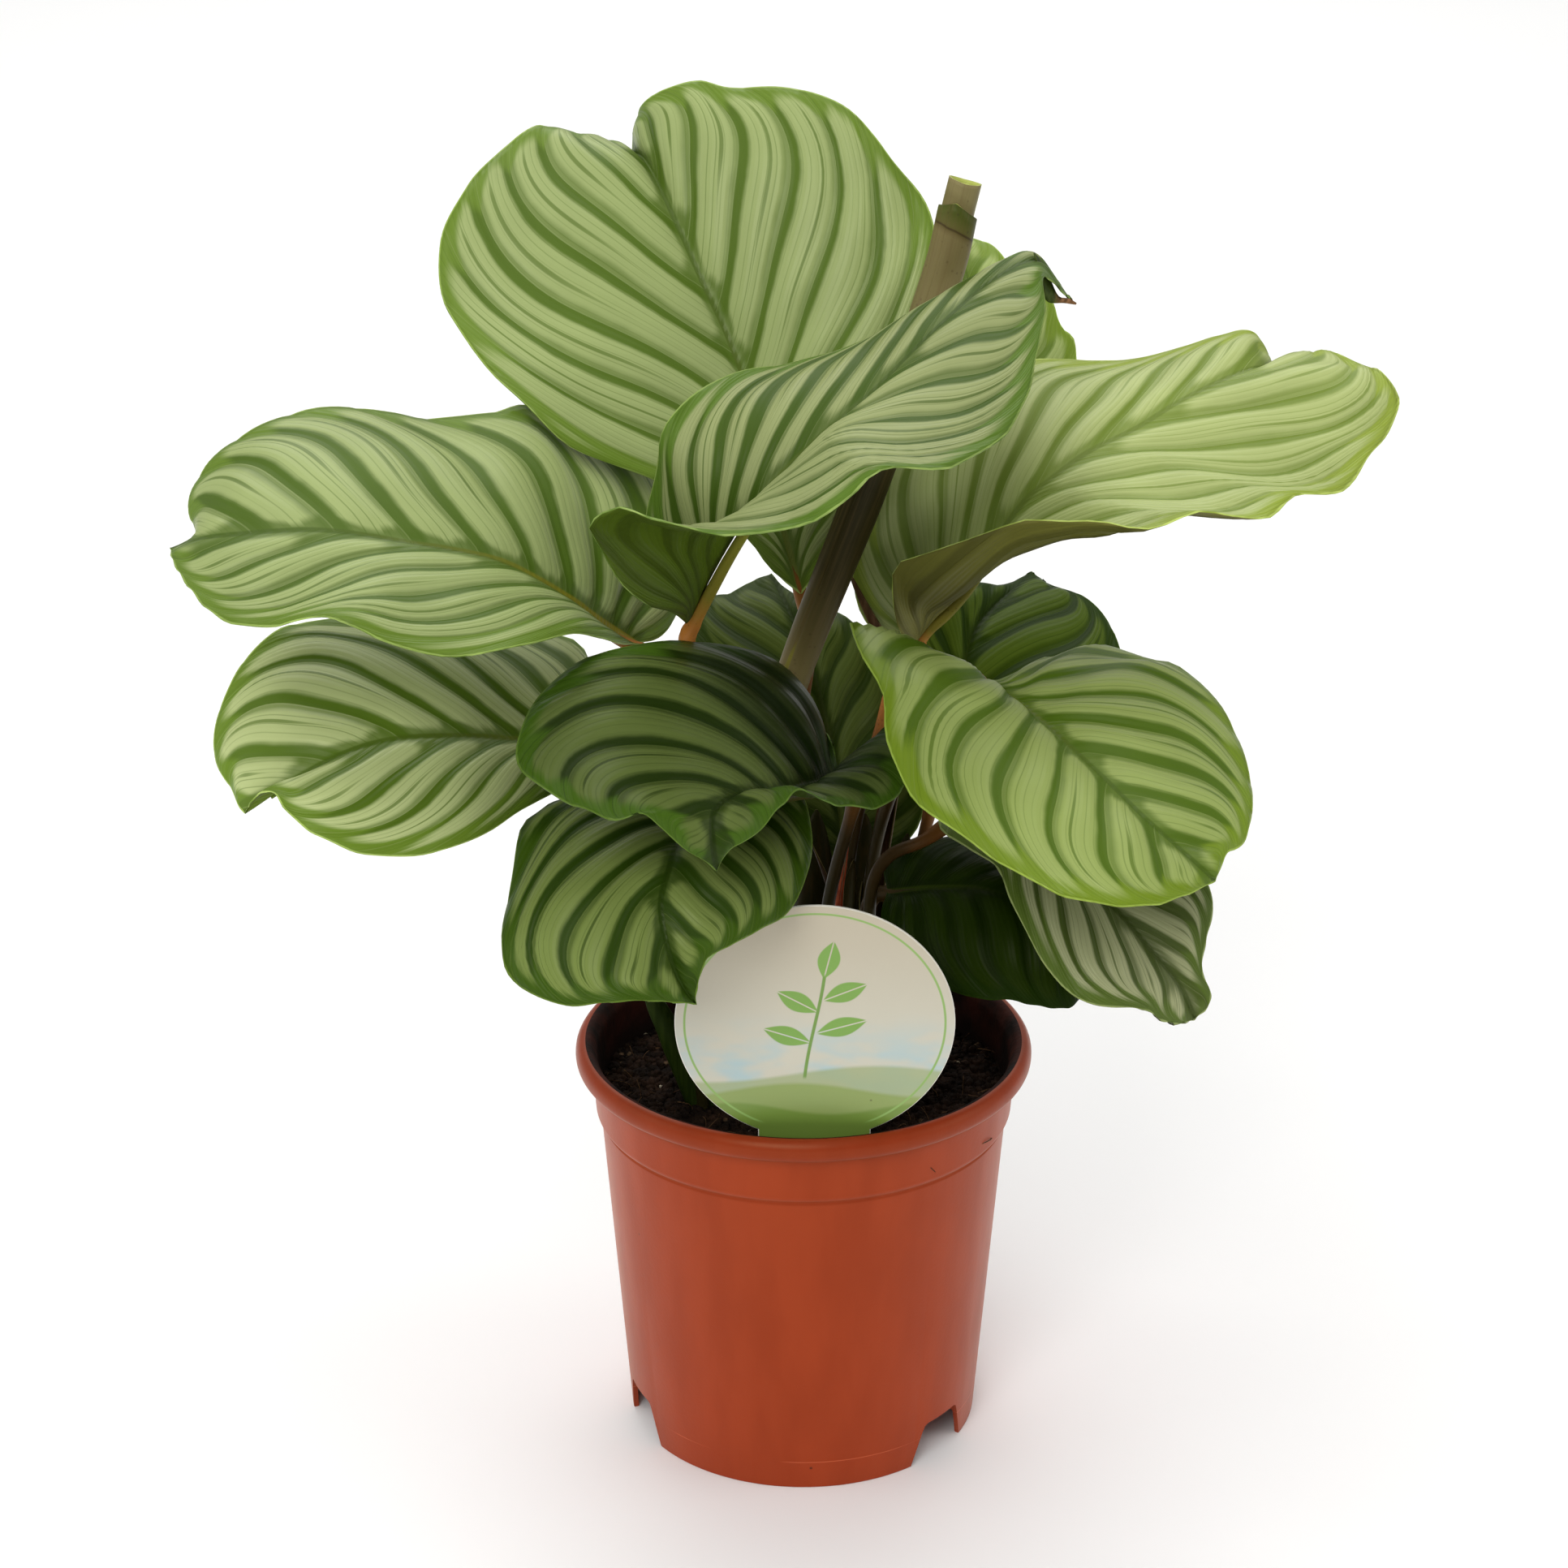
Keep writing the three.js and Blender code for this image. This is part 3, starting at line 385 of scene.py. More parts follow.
# %% Leaf table
LEAVES = [
  {
    "name": "top",
    "midrib": [[-1, 17, 266], [-10, 22, 300], [-19, 31, 332], [-31, 42, 357], [-41, 55, 376],
      [-47, 68, 384], [-52, 84, 383]],
    "left": [[-10, 16, 274], [-17, 12, 285], [-31, 4, 299], [-45, -3, 309], [-68, -8, 320],
      [-81, -5, 332], [-97, 4, 348], [-105, 17, 361], [-105, 27, 372], [-98, 39, 384], [-88, 52, 392],
      [-79, 60, 397], [-69, 70, 393], [-59, 80, 388]],
    "right": [[5, 18, 274], [16, 16, 297], [28, 20, 326], [35, 27, 348], [38, 36, 371], [35, 42, 379],
      [27, 46, 388], [21, 52, 395], [10, 58, 404], [-7, 62, 408], [-22, 66, 407], [-32, 70, 408],
      [-46, 76, 401], [-50, 82, 393]],
    "bulge": [[0.05, 0.08, 0.05], [0.05, 0.08, 0.05]], "ripple": [[1, 3, 0.1], [1.5, 3, 0.4]],
    "root": [-8, 14], "via": [[-5, 18, 180]],
  },
  {
    "name": "front_high",
    "midrib": [[-34, -26, 273], [-28, -38, 289], [-20, -54, 309], [-10, -62, 326], [4, -60, 340],
      [18, -52, 350], [36, -38, 364], [52, -22, 373], [65, -10, 375], [76, 0, 360]],
    "left": [[-40, -20, 277], [-44, -20, 287], [-46, -24, 298], [-45, -30, 308], [-42, -36, 321],
      [-38, -38, 337], [-21, -24, 346], [-2, -15, 348], [18, -10, 352], [34, -8, 361], [45, -6, 367],
      [55, -5, 373], [63, -3, 376], [71, -2, 367]],
    "right": [[-39, -43, 283], [-45, -56, 290], [-51, -64, 299], [-55, -72, 310], [-58, -80, 321],
      [-49, -88, 328], [-42, -94, 327], [-34, -98, 327], [-26, -102, 327], [-17, -106, 328],
      [-9, -107, 329], [1, -108, 332], [10, -110, 339], [17, -110, 345], [24, -106, 345],
      [33, -102, 343], [43, -92, 343], [51, -82, 345], [59, -66, 352], [63, -48, 360], [66, -32, 367],
      [66, -18, 372]],
    "bulge": [[0, 0.1, 0.1], [0, 0.06, 0.1]], "ripple": [[1, 3, 0.1], [1, 3, 0.4]],
    "root": [-24, -4], "via": [[-30, -8, 190]],
  },
  {
    "name": "left_high",
    "midrib": [[-48, -22, 265], [-57, -34, 276], [-66, -48, 289], [-83, -66, 306], [-95, -74, 312],
      [-108, -79, 316], [-129, -84, 321], [-151, -84, 320], [-164, -80, 317], [-172, -76, 313]],
    "left": [[-52, -36, 270], [-58, -54, 279], [-65, -76, 288], [-77, -98, 293], [-90, -110, 295],
      [-101, -116, 298], [-111, -118, 302], [-119, -118, 307], [-126, -116, 308], [-135, -114, 306],
      [-144, -110, 303], [-155, -106, 304], [-164, -95, 308], [-170, -84, 312]],
    "right": [[-43, -10, 262], [-39, -2, 264], [-34, 10, 274], [-37, 16, 295], [-50, 16, 310],
      [-69, 10, 321], [-80, 2, 329], [-88, -7, 330], [-99, -16, 331], [-108, -23, 333],
      [-116, -28, 336], [-127, -32, 339], [-140, -36, 339], [-155, -45, 335], [-164, -52, 329],
      [-168, -58, 323], [-168, -64, 317], [-165, -70, 314]],
    "bulge": [[0.04, 0.05, 0.05], [0.06, 0.08, 0.08]], "ripple": [[0, 3, 0.1], [0, 3, 0.4]],
    "root": [-34, 4], "via": [[-37, 0, 190]],
  },
  {
    "name": "left_low",
    "midrib": [[-60, -25, 235], [-70, -38, 241], [-82, -50, 247], [-98, -65, 254], [-115, -78, 258],
      [-127, -86, 257], [-140, -90, 251], [-150, -90, 244], [-154, -90, 241]],
    "left": [[-61, -35, 231], [-70, -50, 231], [-80, -70, 233], [-88, -85, 233], [-100, -100, 234],
      [-115, -108, 236], [-128, -110, 241], [-139, -106, 247], [-144, -100, 251], [-148, -96, 250],
      [-152, -92, 245]],
    "right": [[-59, -10, 238], [-62, 5, 245], [-66, 8, 253], [-72, 5, 257], [-84, 0, 261],
      [-102, -10, 267], [-119, -20, 273], [-136, -35, 277], [-148, -45, 278], [-157, -55, 272],
      [-161, -62, 266], [-164, -70, 257], [-163, -76, 250], [-158, -82, 244], [-156, -87, 242]],
    "bulge": [[0.06, 0.1, 0.08], [0.06, 0.1, 0.08]], "ripple": [[0, 3, 0.1], [0, 3, 0.4]],
    "root": [-31, -14], "via": [[-42, -18, 180]],
  },
  {
    "name": "front_cupped",
    "midrib": [[10, -45, 233], [2, -58, 236], [-7, -75, 241], [-16, -92, 248], [-22, -104, 251],
      [-25, -112, 250], [-25, -116, 243], [-24, -114, 234]],
    "left": [[19, -42, 239], [23, -36, 243], [26, -34, 247], [28, -40, 245], [29, -52, 239],
      [26, -62, 234], [19, -72, 235], [11, -80, 239], [5, -86, 243], [-1, -92, 249], [-7, -102, 248],
      [-13, -110, 244], [-21, -114, 240]],
    "right": [[8, -34, 238], [5, -20, 239], [2, -9, 242], [-2, -6, 248], [-11, -12, 257], [-23, -21, 264],
      [-36, -33, 270], [-50, -46, 273], [-61, -57, 274], [-70, -68, 271], [-76, -80, 267],
      [-79, -92, 260], [-76, -100, 257], [-68, -108, 254], [-60, -114, 253], [-52, -118, 251],
      [-44, -118, 253], [-39, -118, 249], [-33, -118, 243], [-27, -116, 238]],
    "bulge": [[0, 0.06, 0.06], [0.04, 0.13, 0.08]], "ripple": [[0, 3, 0.1], [0, 3, 0.4]],
    "root": [4, -12], "via": [[7, -20, 180]],
  },
  {
    "name": "right_middle",
    "midrib": [[52, -25, 255], [60, -38, 254], [68, -52, 252], [76, -66, 249], [85, -78, 244],
      [93, -88, 239], [102, -95, 233], [108, -100, 229], [112, -100, 225]],
    "left": [[57, -20, 253], [64, -10, 252], [71, 0, 252], [80, 2, 252], [89, 5, 254], [94, 3, 253],
      [102, -2, 252], [109, -8, 253], [119, -20, 247], [124, -38, 242], [126, -55, 236],
      [125, -70, 233], [121, -84, 229], [116, -92, 230]],
    "right": [[45, -25, 255], [33, -28, 259], [20, -30, 265], [13, -28, 274], [15, -42, 270],
      [19, -52, 267], [22, -58, 264], [22, -70, 255], [26, -80, 248], [30, -88, 244], [44, -102, 238],
      [64, -115, 230], [76, -118, 227], [92, -116, 225], [102, -110, 225]],
    "bulge": [[0.05, 0.09, 0.06], [0.05, 0.1, 0.08]], "ripple": [[0, 3, 0.1], [0, 3, 0.4]],
    "root": [20, 5], "via": [[20, 7, 175], [27, 2, 210]],
  },
  {
    "name": "right_high",
    "midrib": [[31, 15, 250], [36, 9, 259], [43, 3, 269], [53, 0, 285], [64, 1, 301], [73, 3, 308],
      [82, 8, 313], [97, 16, 318], [109, 24, 323], [122, 32, 327], [134, 42, 328], [142, 55, 322]],
    "left": [[25, 18, 250], [17, 16, 260], [14, 15, 275], [14, 20, 288], [23, 35, 303], [39, 45, 315],
      [56, 50, 325], [72, 52, 328], [85, 50, 328], [99, 52, 328], [114, 55, 331], [124, 56, 334],
      [134, 58, 335], [138, 58, 331]],
    "right": [[31, 1, 254], [26, -10, 270], [26, -15, 286], [34, -22, 292], [47, -28, 299],
      [61, -32, 306], [72, -34, 306], [83, -34, 306], [94, -34, 304], [102, -31, 305], [111, -28, 307],
      [122, -24, 304], [132, -18, 302], [141, -8, 305], [153, 0, 303], [159, 6, 304], [166, 16, 310],
      [173, 26, 315], [176, 34, 321], [171, 44, 327], [167, 48, 327], [156, 54, 330], [149, 57, 325]],
    "bulge": [[0.04, 0.07, 0.06], [-0.3, 0, 0.06]], "ripple": [[0, 3, 0.1], [0, 3, 0.4]],
    "root": [9, 7], "via": [[15, 10, 190]],
  },
  {
    "name": "back_high",
    "midrib": [[39, 38, 266], [45, 48, 289], [49, 62, 310], [51, 80, 328], [50, 98, 341], [46, 116, 350]],
    "left": [[29, 42, 270], [20, 50, 288], [16, 62, 308], [19, 78, 326], [29, 95, 340], [39, 109, 348]],
    "right": [[50, 34, 271], [67, 40, 284], [78, 50, 304], [83, 62, 317], [83, 70, 323], [82, 76, 328],
      [80, 77, 329], [78, 79, 332], [76, 84, 337], [71, 92, 341], [64, 99, 344], [59, 107, 348],
      [52, 113, 349]],
    "bulge": [[0.08, 0.1, 0.08], [0.08, 0.1, 0.08]], "ripple": [[1, 3, 0.1], [0, 3, 0.4]],
    "root": [15, 17], "via": [[26, 20, 195]],
  },
  {
    "name": "back_right",
    "midrib": [[43, 30, 209], [49, 44, 226], [53, 60, 237], [60, 74, 241], [67, 86, 243], [73, 98, 244]],
    "left": [[35, 34, 215], [31, 46, 229], [35, 60, 240], [44, 72, 247], [55, 82, 246], [62, 88, 243],
      [67, 94, 242]],
    "right": [[59, 24, 206], [79, 26, 208], [96, 36, 217], [100, 50, 225], [99, 60, 230], [96, 72, 236],
      [89, 82, 241], [78, 92, 242]],
    "bulge": [[0.08, 0.1, 0.08], [0.08, 0.1, 0.08]], "ripple": [[0, 3, 0.1], [0, 3, 0.4]],
    "root": [27, 13], "via": [[33, 20, 165]],
  },
  {
    "name": "front_low",
    "midrib": [[-23, -45, 226], [-30, -62, 226], [-36, -78, 226], [-38, -88, 223], [-40, -96, 217],
      [-39, -101, 210], [-36, -104, 200], [-33, -105, 194], [-30, -105, 190]],
    "left": [[-14, -38, 228], [-6, -42, 228], [-1, -48, 229], [2, -62, 220], [0, -74, 214],
      [-5, -86, 209], [-12, -94, 208], [-20, -100, 206], [-27, -103, 203], [-29, -104, 198],
      [-30, -105, 194]],
    "right": [[-31, -35, 222], [-45, -30, 220], [-59, -38, 223], [-70, -46, 226], [-75, -54, 227],
      [-80, -62, 225], [-82, -78, 216], [-84, -98, 205], [-82, -104, 199], [-74, -110, 195],
      [-64, -114, 194], [-54, -116, 196], [-45, -115, 196], [-36, -110, 193]],
    "bulge": [[0.08, 0.16, 0.1], [0.08, 0.15, 0.1]], "ripple": [[0, 3, 0.1], [0, 3, 0.4]],
    "root": [-12, -13], "via": [[-14, -20, 170]],
  },
  {
    "name": "right_low",
    "midrib": [[54, -18, 208], [70, -38, 205], [87, -55, 198], [99, -64, 187], [107, -68, 178],
      [112, -68, 167]],
    "left": [[72, -10, 207], [93, -20, 209], [108, -35, 208], [117, -48, 199], [117, -55, 193],
      [115, -60, 188], [114, -64, 180], [116, -66, 176], [116, -68, 172]],
    "right": [[45, -20, 209], [39, -25, 210], [48, -36, 206], [56, -45, 204], [59, -54, 198],
      [64, -64, 191], [69, -72, 185], [76, -80, 180], [86, -80, 177], [97, -76, 174], [101, -74, 170],
      [107, -71, 167]],
    "bulge": [[0.06, 0.12, 0.08], [0.06, 0.14, 0.08]], "ripple": [[0, 3, 0.1], [0, 3, 0.4]],
    "root": [24, -16], "via": [[20, -17, 185], [25, -18, 196], [35, -18, 201]],
  },
  {
    "name": "right_inner",
    "midrib": [[25, -12, 182], [38, -24, 189], [53, -34, 193], [66, -44, 191], [75, -50, 182],
      [81, -52, 167]],
    "left": [[24, -6, 186], [28, 0, 190], [39, 0, 194], [53, -3, 195], [68, -10, 191], [79, -24, 184],
      [84, -38, 175]],
    "right": [[23, -18, 178], [24, -26, 172], [31, -38, 168], [38, -44, 167], [44, -50, 167],
      [52, -55, 167], [58, -57, 168], [70, -58, 166], [77, -56, 165]],
    "bulge": [[0.06, 0.12, 0.08], [0.06, 0.14, 0.08]], "ripple": [[0, 3, 0.1], [0, 3, 0.4]],
    "root": [17, -5], "via": [[17, -6, 155]],
  },
  {
    "name": "back_low",
    "midrib": [[13, 27, 173], [12, 34, 185], [9, 46, 202], [4, 60, 220], [-3, 77, 235], [-10, 96, 244]],
    "left": [[3, 29, 174], [-9, 34, 185], [-19, 42, 201], [-29, 52, 218], [-34, 64, 233], [-32, 78, 241],
      [-23, 86, 241], [-15, 93, 243]],
    "right": [[23, 26, 175], [35, 28, 185], [38, 34, 199], [34, 46, 214], [25, 60, 230], [15, 72, 237],
      [8, 80, 238], [-1, 88, 239], [-6, 92, 241]],
    "bulge": [[0.08, 0.1, 0.08], [0.08, 0.1, 0.08]], "ripple": [[0, 3, 0.1], [0, 3, 0.4]],
    "root": [4, 22], "via": [[8, 21, 140]],
  },
]
print("leaves:", len(LEAVES))

# %% Veins and colours
# Main veins in each half; how strongly they crowd towards the base on the left and on the right;
# the share of a band that is dark; the gloss; and the colours of the pale stripes, the dark bands,
# the plain margin and the midrib's base
LOOKS = {
    "top": (11, (3.6, 3.6), 0.23, 0.22,
            (152, 166, 106), (80, 104, 30), (102, 128, 42), (112, 122, 52)),
    "front_high": (13, (4.2, 6.0), 0.3, 0.12,
                   (142, 151, 100), (62, 84, 24), (86, 114, 38), (116, 128, 62)),
    "left_high": (11, (7.0, 2.8), 0.25, 0.22,
                  (152, 166, 106), (74, 98, 28), (98, 124, 40), (160, 146, 44)),
    "left_low": (9, (5.0, 4.5), 0.25, 0.22,
                 (180, 192, 130), (84, 110, 28), (104, 132, 38), (138, 142, 48)),
    "front_cupped": (9, (2.4, 3.5), 0.25, 0.12,
                     (88, 102, 50), (32, 48, 8), (62, 90, 20), (62, 80, 24)),
    "right_middle": (9, (6.0, 5.5), 0.24, 0.22,
                     (144, 160, 88), (74, 100, 16), (110, 134, 32), (118, 132, 50)),
    "right_high": (11, (6.0, 6.0), 0.22, 0.22,
                   (168, 180, 114), (112, 132, 50), (142, 160, 58), (112, 126, 58)),
    "back_high": (9, (2.8, 2.8), 0.25, 0.15,
                  (152, 168, 98), (92, 116, 32), (112, 136, 40), (140, 140, 54)),
    "back_right": (7, (3.0, 12.0), 0.3, 0.05,
                   (82, 102, 30), (38, 58, 2), (42, 64, 4), (70, 86, 24)),
    "front_low": (9, (4.0, 6.5), 0.28, 0.12,
                  (114, 130, 66), (42, 64, 8), (58, 84, 14), (66, 88, 30)),
    "right_low": (9, (6.0, 12.0), 0.3, 0.2,
                  (160, 164, 122), (70, 84, 34), (84, 104, 38), (100, 112, 60)),
    # The inner low leaf's colours are darker than its own green, as painted shade deep in the clump
    "right_inner": (8, (2.6, 4.0), 0.28, 0.04,
                    (27, 41, 3), (19, 32, 2), (22, 38, 3), (48, 62, 12)),
    "back_low": (9, (2.6, 2.6), 0.28, 0.08,
                 (84, 98, 42), (42, 58, 10), (48, 66, 12), (90, 100, 42)),
}
LOOK_PARTS = ("bands", "crowding", "dark_share", "gloss", "pale", "dark", "margin", "vein")
for leaf in LEAVES:
    leaf.update(zip(LOOK_PARTS, LOOKS[leaf["name"]]))
print("main veins in all halves:", 2 * sum(leaf["bands"] for leaf in LEAVES))

# %% [markdown]
# ## The shape of a blade
# A blade could be sculpted, or a flat grid could be bent. Here each half is a surface between the
# midrib and the margin, and it is walked vein by vein. The veins of this plant leave the midrib
# crowded together near the base, run forward beside it, swing out and bend to the tip again just
# before the margin. They are the rows of the mesh, so everything that follows them, the pleats here
# and the stripes in the material, comes out right on a leaf of any shape. Between two main veins
# the blade arches up, and the vein itself lies in a sharp groove, which is what catches the light.

# %% Curves
ROW_CROWDING = 1.25      # how the lines across the blade crowd on the midrib near the base
ROW_BOW = 0.16           # how far such a line swings towards the base, as a share of its length
EVEN_ON_MARGIN = 0.55    # the veins are spaced this much evenly on the margin, the rest on the midrib
VEIN_SWING = 0.5         # how much a vein runs forward at both its ends and outward in its middle
VEIN_HASTE = 0.25        # how much more of that it does at the midrib
PLEAT_HEIGHT = 0.085     # as a share of the distance between two main veins
PLEAT_LIMIT = 0.9        # mm
SCALLOP = 0.4            # mm, how far the margin stands out where a main vein ends
BLADE_THICKNESS = 0.45   # mm
ROWS_PER_VEIN = 8        # from each half; both halves use the rows of both
BASE_GROOVE = 0.7        # mm, how deep the midrib lies in the upper face
COLUMNS = 30             # points from midrib to margin
SIDES = ("left", "right")


def unit(vectors):
    return vectors / np.maximum(np.linalg.norm(vectors, axis=-1, keepdims=True), 1e-9)


def smooth_step(values, start, end):
    share = np.clip((values - start) / (end - start), 0, 1)
    return share * share * (3 - 2 * share)


class SmoothCurve:
    """A centripetal Catmull-Rom curve, read by the share of its length."""

    def __init__(self, points, steps=40):
        given = np.array(points, float)
        given = np.vstack([2 * given[0] - given[1], given, 2 * given[-1] - given[-2]])
        pieces = []
        u = np.linspace(0, 1, steps, endpoint=False)[:, None]
        for p0, p1, p2, p3 in zip(given, given[1:], given[2:], given[3:]):
            d0, d1, d2 = (math.sqrt(np.linalg.norm(b - a)) for a, b in ((p0, p1), (p1, p2), (p2, p3)))
            m1 = ((p1 - p0) / d0 - (p2 - p0) / (d0 + d1) + (p2 - p1) / d1) * d1
            m2 = ((p2 - p1) / d1 - (p3 - p1) / (d1 + d2) + (p3 - p2) / d2) * d1
            pieces.append(p1 + m1 * u + (3 * (p2 - p1) - 2 * m1 - m2) * u ** 2
                          + (2 * (p1 - p2) + m1 + m2) * u ** 3)
        self.points = np.vstack([*pieces, given[-2]])
        walked = np.cumsum(np.linalg.norm(np.diff(self.points, axis=0), axis=1))
        self.length = walked[-1]
        self.shares = np.concatenate([[0], walked / self.length])

    def at(self, shares):
        return np.stack([np.interp(shares, self.shares, self.points[:, k]) for k in range(3)], axis=-1)

    def heading(self, shares, reach=0.004):
        shares = np.asarray(shares, float)
        return unit(self.at(np.minimum(shares + reach, 1)) - self.at(np.maximum(shares - reach, 0)))


def margin_curve(leaf, side):
    return SmoothCurve([leaf["midrib"][0], *leaf[side], leaf["midrib"][-1]])


print("the top leaf's midrib in mm:", round(SmoothCurve(LEAVES[0]["midrib"]).length))


# %% Surface of one half
def nearest(points, line):
    """How far each point of a grid is from a line of points."""
    apart = np.empty(points.shape[:2])
    for i, row in enumerate(points):
        apart[i] = np.linalg.norm(row[:, None] - line[None], axis=-1).min(axis=1)
    return apart


def half_surface(leaf, side, rows, across):
    """Points of one half by the share along the blade and the share from midrib to margin."""
    hand = (-1, 1)[side == "right"]
    half = 0 if side == "left" else 1
    midrib = SmoothCurve(leaf["midrib"])
    edge = margin_curve(leaf, side)
    root = midrib.at(rows ** ROW_CROWDING)
    along = midrib.heading(rows ** ROW_CROWDING)
    reach = edge.at(rows) - root
    length = np.linalg.norm(reach, axis=-1, keepdims=True)
    outward = unit(reach)
    normal = unit(np.cross(outward * hand, along))
    forward = along - outward * np.sum(along * outward, axis=-1, keepdims=True)
    arch = length * np.minimum(1, 4 * rows[..., None])
    bulge = np.interp(rows, [0, 0.5, 1], leaf["bulge"][half])[..., None]
    control = root + reach / 2 - ROW_BOW * arch * forward + 2 * bulge * arch * normal

    t = across[..., None]
    points = (1 - t) ** 2 * root + 2 * t * (1 - t) * control + t ** 2 * (root + reach)
    height, waves, start = leaf["ripple"][half]
    wave = height * np.sin(2 * np.pi * (waves * rows + start)) * np.sqrt(np.sin(np.pi * rows))
    points = points + (wave * across ** 2.5)[..., None] * normal
    return points, outward, midrib.points, edge.points


print("the top leaf's left margin in mm:", round(margin_curve(LEAVES[0], "left").length))

# %% Where the veins run
# The number of the first band in each half, so that no two halves look the same
FIRST_PHASES = (0.31, 40.64)


def phase_at(leaf, side, ends):
    """The place in the pattern of the vein that meets the margin at this share of its length."""
    crowding = leaf["crowding"][side == "right"]
    return leaf["bands"] * (EVEN_ON_MARGIN * ends + (1 - EVEN_ON_MARGIN) * ends ** crowding)


def vein_end(leaf, side, start):
    """Where on the margin the vein ends that starts at this share of the midrib."""
    return start ** (1 / leaf["crowding"][side == "right"])


def row_starts(leaf):
    """Where on the midrib the rows of the mesh start: evenly over the pattern of either half."""
    ends = np.linspace(0, 1, 600)
    even = np.arange(1, ROWS_PER_VEIN * leaf["bands"]) / ROWS_PER_VEIN
    wanted = [np.interp(even, phase_at(leaf, side, ends), ends) ** crowding
              for side, crowding in zip(SIDES, leaf["crowding"])]
    kept = [0.0]
    for start in np.sort(np.concatenate(wanted)):
        steps = [phase_at(leaf, side, vein_end(leaf, side, start))
                 - phase_at(leaf, side, vein_end(leaf, side, kept[-1])) for side in SIDES]
        if max(steps) > 0.5 / ROWS_PER_VEIN:
            kept.append(start)
    return np.array(kept[1:])


print("rows of points across the top leaf:", len(row_starts(LEAVES[0])))


# %% Points along the veins
def half_blade(leaf, side, starts, across):
    """The points of one half along its veins, their phase and their distances to midrib and margin."""
    hand = (-1, 1)[side == "right"]
    veins = vein_end(leaf, side, starts)
    phases = phase_at(leaf, side, veins)
    start = starts[:, None] ** (1 / ROW_CROWDING)
    swing = across + VEIN_SWING * np.sin(2 * np.pi * across) / (2 * np.pi)
    swing = swing + VEIN_HASTE * across * (1 - across)
    rows = start + (veins[:, None] - start) * swing
    points, outward, midrib, edge = half_surface(leaf, side, rows, np.broadcast_to(across, rows.shape))

    phase = phases + FIRST_PHASES[side == "right"]
    to_next = np.gradient(points, phases, axis=0)
    outwards = np.gradient(points, across, axis=1)
    upright = np.cross(hand * outwards, to_next)
    facing = unit(upright)
    spacing = np.linalg.norm(upright, axis=-1) / np.maximum(np.linalg.norm(outwards, axis=-1), 1e-6)
    from_midrib, from_margin = nearest(points, midrib), nearest(points, edge)
    from_midrib[:, 0], from_margin[:, -1] = 0, 0
    pleat = np.abs(np.sin(np.pi * (phase - 0.5)))[:, None] ** 0.8 - 0.5
    fullness = smooth_step(from_midrib, 0, 7) * (1 - 0.4 * across ** 2)
    lift = np.minimum(PLEAT_HEIGHT * spacing, PLEAT_LIMIT) * 2 * pleat * fullness
    lift -= BASE_GROOVE * np.exp(-(from_midrib / 1.8) ** 2) * np.sin(np.pi * veins)[:, None] ** 0.5
    point_out = SCALLOP * (0.6 - 1.2 * np.abs(np.sin(np.pi * (phase - 0.5))) ** 1.4)[:, None] * across ** 8
    points = points + lift[..., None] * facing + point_out[..., None] * outward
    return points, phase, from_midrib, from_margin


print("points in a half of the top leaf:", COLUMNS * len(row_starts(LEAVES[0])))


# %% Blade mesh
def make_blade(leaf, materials):
    """Both halves joined at the midrib, then thickened downward."""
    starts = row_starts(leaf)
    rows = len(starts) + 1
    across = np.linspace(0, 1, COLUMNS)
    points = [leaf["midrib"][0], leaf["midrib"][-1]]
    faces, face_uvs, number = [], [], {}
    halves = [half_blade(leaf, side, starts, across) for side in SIDES]
    for half, (grid, *_rest) in enumerate(halves):
        for i in range(rows - 1):
            for j in range(COLUMNS):
                if j == 0 and half == 1:
                    number[half, i, j] = number[0, i, j]
                    continue
                number[half, i, j] = len(points)
                points.append(grid[i, j])
    for half, (grid, phase, from_midrib, from_margin) in enumerate(halves):
        tips = (FIRST_PHASES[half], FIRST_PHASES[half] + leaf["bands"])

        def corner(i, j, half=half, phase=phase, near=from_midrib, far=from_margin, ends=tips):
            """A point's number and its four UV values; the rows before and after are the two ends."""
            if i < 0 or i > rows - 2:
                end = 0 if i < 0 else 1
                return end, (ends[end], across[j], 0.0, 0.0)
            return number[half, i, j], (phase[i], across[j], near[i, j], far[i, j])

        for i in range(-1, rows - 1):
            for j in range(COLUMNS - 1):
                ring = [corner(i, j), corner(i, j + 1), corner(i + 1, j + 1), corner(i + 1, j)]
                if i == -1:
                    ring = ring[1:]
                elif i == rows - 2:
                    ring = ring[:3]
                if half == 0:
                    ring.reverse()
                faces.append([index for index, _ in ring])
                face_uvs.extend(values for _, values in ring)
    piece = make_object("blade_" + leaf["name"], np.array(points) * MM, faces, materials)
    values = np.array(face_uvs, dtype=np.float32)
    for label, columns_used in (("veins", (0, 1)), ("distance", (2, 3))):
        layer = piece.data.uv_layers.new(name=label)
        layer.uv.foreach_set("vector", values[:, columns_used].ravel())
    thicken(piece, BLADE_THICKNESS, inner=1, rim=2)
    return piece


print("faces of the top leaf:", 2 * (COLUMNS - 1) * (len(row_starts(LEAVES[0])) + 1))

# %% [markdown]
# ## The stripes
# The bands follow the veins. A dark band lies along one side of each main vein and ends in a crisp
# line at it; its other side, and the half-dark strip beyond the vein, fade softly into the pale
# green. In the middle of most pale parts runs one strong dark line that thins out at both ends, and
# faint thin lines share out the rest. Near the margin and near the midrib the pale parts end in uneven
# streaks, so a plain green edge and a dark spine are left. All of it is worked out from the blade's
# two UV maps: the place between the veins, and the distances in millimetres to midrib and margin.
# The group puts out masks, and each leaf mixes its own colours.

